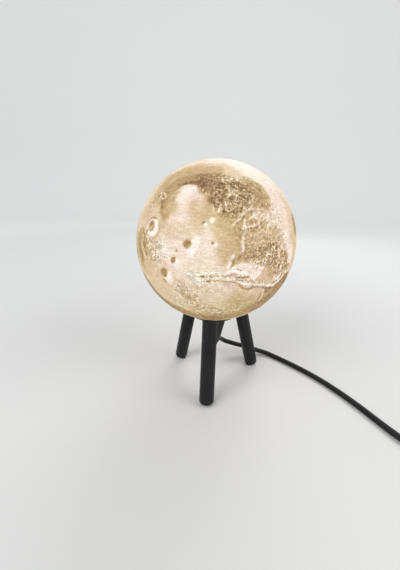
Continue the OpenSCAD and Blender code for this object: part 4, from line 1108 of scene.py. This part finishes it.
low = -math.asin(DOME_DROP / DOME_R)
t = np.linspace(low, math.pi / 2 - 0.001, 40)
inner_r_dome = DOME_R - DOME_WALL
u = np.linspace(math.pi / 2 - 0.001, -math.asin(DOME_DROP / inner_r_dome), 30)
dome_profile = np.vstack([
    np.stack([DOME_R * np.cos(t), DOME_Z + DOME_R * np.sin(t)], 1),
    np.stack([inner_r_dome * np.cos(u), DOME_Z + inner_r_dome * np.sin(u)], 1)])

tree, shader, where = blank("bulb_opal")
cloud = noise_of(tree, where, 90, 3.0)
put(tree, shader, {
    "Base Color": shades(tree, cloud, (0.62, 0.57, 0.49), (0.68, 0.63, 0.55)),
    "Emission Color": shades(tree, cloud, (1.0, 0.80, 0.54), (1.0, 0.86, 0.63)),
    "Emission Strength": BULB_GLOW,
    "Roughness": spread(tree, noise_of(tree, where, 1800), 0.22, 0.34)})
make("bulb_globe_glass", *revolve(dome_profile, 128), "bulb_opal", body="bulb",
     replaces=("bulb_dome",), sharp=60, around=True)


# Coil's tie

tree, shader, where = blank("tie_black")
warp = add(tree, "TexWave", {"Vector": where, "Scale": 420.0, "Distortion": 1.5, "Detail": 2.0},
           bands_direction="Z").outputs["Fac"]
loops = noise_of(tree, where, 1600, 5.0, 0.7)
put(tree, shader, {
    "Base Color": shades(tree, loops, (0.012, 0.012, 0.013), (0.05, 0.05, 0.052)),
    "Roughness": spread(tree, loops, 0.8, 1.0), "Sheen Weight": 0.3,
    "Normal": bumped(tree, (warp, 0.6, 0.00015), (loops, 1.0, 0.00025))})

out_r = COIL_IN_R + COIL_TURNS * COIL_PITCH
turns_past = ((COIL_TIE_AT - COIL_START) % 360) / 360
tie_far = out_r - COIL_PITCH * turns_past + CORD_R + TIE_GAP
tie_in_r = out_r - COIL_PITCH * (turns_past + COIL_TURNS - 1)
tie_near = math.sqrt(tie_in_r ** 2 - TIE_W ** 2 / 4) - CORD_R - 2 * TIE_GAP
tie_top = 2 * CORD_R + COIL_PITCH + COIL_Z - CORD_R + 2 * TIE_GAP
x0, x1, z0, z1 = (tie_near - TIE_T / 2, tie_far + TIE_T / 2, TIE_T / 2, tie_top + 1.5 * TIE_T)
loop = rounded([(x0, z0), (x1, z0), (x1, z1), (x0, z1)], 2.9, 9)
loop = np.vstack([loop[:-1] + (loop[1:] - loop[:-1]) * k / 4 for k in range(4)]).reshape(
    4, -1, 2).transpose(1, 0, 2).reshape(-1, 2)
section = rounded([(-TIE_T / 2, -TIE_W / 2), (TIE_T / 2, -TIE_W / 2), (TIE_T / 2, TIE_W / 2),
                   (-TIE_T / 2, TIE_W / 2)], 0.3, 4)
way = unit(np.roll(loop, -1, 0) - np.roll(loop, 1, 0))
out = np.stack([way[:, 1], -way[:, 0]], 1)
strap = loop[:, None, :] + section[None, :, :1] * out[:, None, :]
strap = np.stack([strap[..., 0], np.broadcast_to(section[None, :, 1], strap.shape[:2]),
                  strap[..., 1]], -1)
make("coil_strap", on_way(strap, COIL_AT + (0.0,), COIL_TIE_AT),
     [grid_faces(len(loop), len(section), True)], "tie_black", replaces=("coil_tie",), sharp=60,
     around=True)


# In-line switch

def in_switch(points):
    """Points of the switch's own frame, whose +X is the lead's way, brought to its place."""
    return on_way(points, SWITCH_AT, SWITCH_YAW)


end_x, mid_x = SWITCH_LEN / 2, SWITCH_LEN / 2 - SWITCH_TAPER
end_y, mid_y = SWITCH_END_W / 2, SWITCH_W / 2
plan = rounded([(-end_x, -end_y), (-mid_x, -mid_y), (mid_x, -mid_y), (end_x, -end_y),
                (end_x, end_y), (mid_x, mid_y), (-mid_x, mid_y), (-end_x, end_y)],
               [3.2, 7, 7, 3.2, 3.2, 7, 7, 3.2], 9)
t = np.linspace(0, math.pi / 2, 7)
base_levels = [(1.4 - 1.4 * math.sin(x), 1.4 - 1.4 * math.cos(x)) for x in t] + [
    (0, SWITCH_SPLIT - 0.3), (0.3, SWITCH_SPLIT), (SWITCH_WALL, SWITCH_SPLIT),
    (SWITCH_WALL, SWITCH_WALL)]
t = np.linspace(0, math.pi / 2, 11)
cover_levels = [(SWITCH_WALL, SWITCH_H - 2.4), (SWITCH_WALL, SWITCH_SPLIT + 0.05),
                (0.3, SWITCH_SPLIT + 0.05), (0, SWITCH_SPLIT + 0.35)] + [
    (CROWN_IN - CROWN_IN * math.cos(x), SWITCH_H - 5.0 + CROWN_RISE * math.sin(x)) for x in t] + [
    (5.4, SWITCH_H - 0.14), (7, SWITCH_H)]
base_points, base_faces = loft(plan, base_levels)
base = make("switch_underside", in_switch(base_points), base_faces, "switch_black",
            replaces=("switch_base",), sharp=40, around=True)
# The plan is scaled for the cover, because insets as deep as its crown would cross at the corners
cover_points = np.vstack([np.column_stack([plan * (1 - step / end_x, 1 - step / mid_y),
                                          np.full(len(plan), z)]) for step, z in cover_levels])
cover = make("switch_top", in_switch(cover_points), tube_faces(len(cover_levels), len(plan)),
             "switch_black", replaces=("switch_cover",), sharp=40, around=True)
slot_x, slot_y = ROCKER_R + ROCKER_GAP, ROCKER_W / 2 + ROCKER_GAP
slot_plan = rounded([(-slot_x, -slot_y), (slot_x, -slot_y), (slot_x, slot_y), (-slot_x, slot_y)],
                    0.9, 5)
slot_points, slot_faces = loft(slot_plan, [(0, 5.0), (0, SWITCH_H - 0.35), (-0.5, SWITCH_H + 0.15),
                                           (-0.5, SWITCH_H + 3)])
cut(cover, in_switch(slot_points), slot_faces)
t = np.linspace(0, 2 * math.pi, 40, endpoint=False)
round_outline = np.column_stack([np.cos(t), np.sin(t)])
for side in (-1, 1):
    hole, hole_faces = loft(SWITCH_HOLE_R * round_outline, [(0, -1), (0, SWITCH_HOLE_UP)])
    hole += (side * SWITCH_SCREW_AT[0], -side * SWITCH_SCREW_AT[1], 0)
    cut(base, in_switch(hole), hole_faces)

rocker_side = rounded([(-8.7, 4.4), (-9.5, 1.8), (-9.78, 0), (-9.5, -2.2),
                       (-8.76, -ROCKER_FOOT), (8.76, -ROCKER_FOOT), (9.5, -2.2), (9.78, 0),
                       (9.5, 1.8), (8.7, 4.4), (4.2, 3.55), (0, 3.2), (-4.2, 3.55)],
                      [0.8, 1, 1, 1, 0.5, 0.5, 1, 1, 1, 0.8, 2, 2, 2], 5)
rocker_points, rocker_faces = loft(rocker_side, [
    (step, side * (ROCKER_W / 2 - back)) for side, steps in (
        (-1, ((0.7, 0), (0.3, 0.12), (0.08, 0.3), (0, 0.6))),
        (1, ((0, 0.6), (0.08, 0.3), (0.3, 0.12), (0.7, 0)))) for step, back in steps])
rocker_points = lean(rocker_points[:, [0, 2, 1]], ROCKER_TILT) + (0, 0, ROCKER_Z)
make("rocker_button", in_switch(rocker_points), rocker_faces, "rocker_black", body="rocker",
     replaces=("switch_rocker",), sharp=45, around=True)


# Plug

x = np.concatenate([[PLUG_RELIEF - 0.6],
                    np.linspace(PLUG_RELIEF - 0.4, PLUG_RELIEF + PLUG_LEN, 70)])
s = x - PLUG_RELIEF
half_w = 7.0 + 2.2 * smoothstep(-0.6, 1.5, s) + (PLUG_W / 2 - 9.2) * smoothstep(0.5, 21, s)
half_w -= 1.7 * smoothstep(PLUG_LEN - 3.0, PLUG_LEN, s) ** 2
half_t = 5.2 + 1.0 * smoothstep(-0.6, 1.5, s) + (PLUG_T / 2 - 6.2) * smoothstep(1, 9, s)
half_t -= 0.8 * smoothstep(PLUG_LEN - 2.5, PLUG_LEN, s) ** 2
a = np.linspace(0, 2 * math.pi, PLUG_RING, endpoint=False)
c, n = np.cos(a), np.sin(a)
ring_y = np.sign(c) * np.abs(c) ** 0.5
ring_z = np.sign(n) * np.abs(n) ** 0.42
grooves = 0.55 * np.clip(1.5 * np.cos(2 * math.pi * (s - 13) / 4.2), 0, 1) * (
    smoothstep(6, 8, s) * (1 - smoothstep(23.5, 25.5, s)))
y = half_w[:, None] * ring_y
z = half_t[:, None] * ring_z
z -= np.sign(z) * grooves[:, None] * (1 - smoothstep(0.35, 0.6, np.abs(ring_y)))
body = np.stack([np.broadcast_to(x[:, None], y.shape), y, z], -1)
make("plug_moulding", on_way(body, plug_at, PLUG_YAW), tube_faces(len(x), PLUG_RING),
     "relief_rubber", replaces=("plug_body",), sharp=50, around=True)

x = np.linspace(0, PLUG_RELIEF, 90)
boot_ribs = np.clip(1.6 * np.cos(2 * math.pi * x / 2.8) - 0.2, 0, 1) * smoothstep(1.5, 2.5, x) * (
    1 - smoothstep(16, 17, x))
boot_r = 3.35 + 2.25 * smoothstep(0, PLUG_RELIEF, x) - 0.5 * boot_ribs
boot_points, boot_faces = sweep(np.stack([x, 0 * x, 0 * x], 1), boot_r, 40)
make("plug_relief", on_way(boot_points, plug_at, PLUG_YAW), boot_faces, "relief_rubber", sharp=60,
     around=True)


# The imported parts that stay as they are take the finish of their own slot

for entry in frame["record"]["subparts"]:
    for held in frame["nodes"][entry["node"]].material_slots:
        held.material = MATERIALS[entry["material_slot"]]


# Floor, backdrop and light

def direct_look(tree):
    """1 where the camera sees a surface itself, in a mirror or through glass, and otherwise 0."""
    rays = add(tree, "LightPath").outputs
    seen = math_of(tree, "MAXIMUM", rays["Is Camera Ray"], rays["Is Glossy Ray"])
    return math_of(tree, "MAXIMUM", seen, rays["Is Transmission Ray"])


def stage_material(name, colour):
    """A pale, even finish with a faint cloud. Seen straight from the camera it is paler further
    off, so that the backdrop looks like the floor and adds no light."""
    tree, shader, where = blank(name)
    away = add(tree, "VectorMath", {0: where}, operation="LENGTH").outputs["Value"]
    seen = math_of(tree, "MULTIPLY", spread(tree, away, 0, 1, 0.3, 2.0), direct_look(tree))
    put(tree, shader, {
        "Base Color": shades(tree, noise_of(tree, where, 2.0, 2.0), [c * 0.985 for c in colour],
                             colour),
        "Roughness": 0.9, "Specular IOR Level": 0.1,
        "Emission Color": mix(tree, seen, (0, 0, 0, 1), (0.36, 0.36, 0.36, 1)),
        "Emission Strength": 1.0})
    return MATERIALS[name]


floor_profile = [(-4.0, 0), (2.2, 0)] + [(2.2 + 0.9 * math.sin(t), 0.9 - 0.9 * math.cos(t))
                                         for t in np.linspace(0.1, math.pi / 2, 12)] + [(3.1, 4.0)]
floor_points = [(x, y, z) for y, z in floor_profile for x in (-5.0, 5.0)]
floor_mesh = bpy.data.meshes.new("floor")
floor_mesh.from_pydata(floor_points, [], grid_faces(
    len(floor_profile), 2, wrap_columns=False)[:, ::-1].tolist())
floor_mesh.shade_smooth()
floor_mesh.materials.append(stage_material("floor_pale", (0.80, 0.80, 0.79)))
floor = show("floor", floor_mesh)


def soft_light(name, place, aim, size, power):
    """A square area light at a place, turned towards its aim."""
    data = bpy.data.lights.new(name, "AREA")
    data.size = size
    data.energy = power
    made = show(name, data)
    made.location = place
    away = np.subtract(place, aim)
    made.rotation_euler = (math.atan2(math.hypot(away[0], away[1]), away[2]), 0,
                           math.atan2(away[0], -away[1]))


soft_light("key", (-0.7, -0.9, 1.1), (0, 0, 0.12), 0.9, 9)
soft_light("side", (1.0, -0.3, 0.8), (0, 0, 0.12), 0.8, 5)
soft_light("back", (0.2, 1.0, 1.1), (0, 0, 0.12), 0.8, 6)

world = bpy.data.worlds.new("world")
bpy.context.scene.world = world
world.use_nodes = True
sky = world.node_tree.nodes["Background"]
sky.inputs["Color"].default_value = (0.95, 0.97, 1.0, 1)
world.node_tree.links.new(spread(world.node_tree, direct_look(world.node_tree), 0.45, 0.72, 0, 1),
                          sky.inputs["Strength"])

view = bpy.context.scene.view_settings
view.view_transform = "Standard"
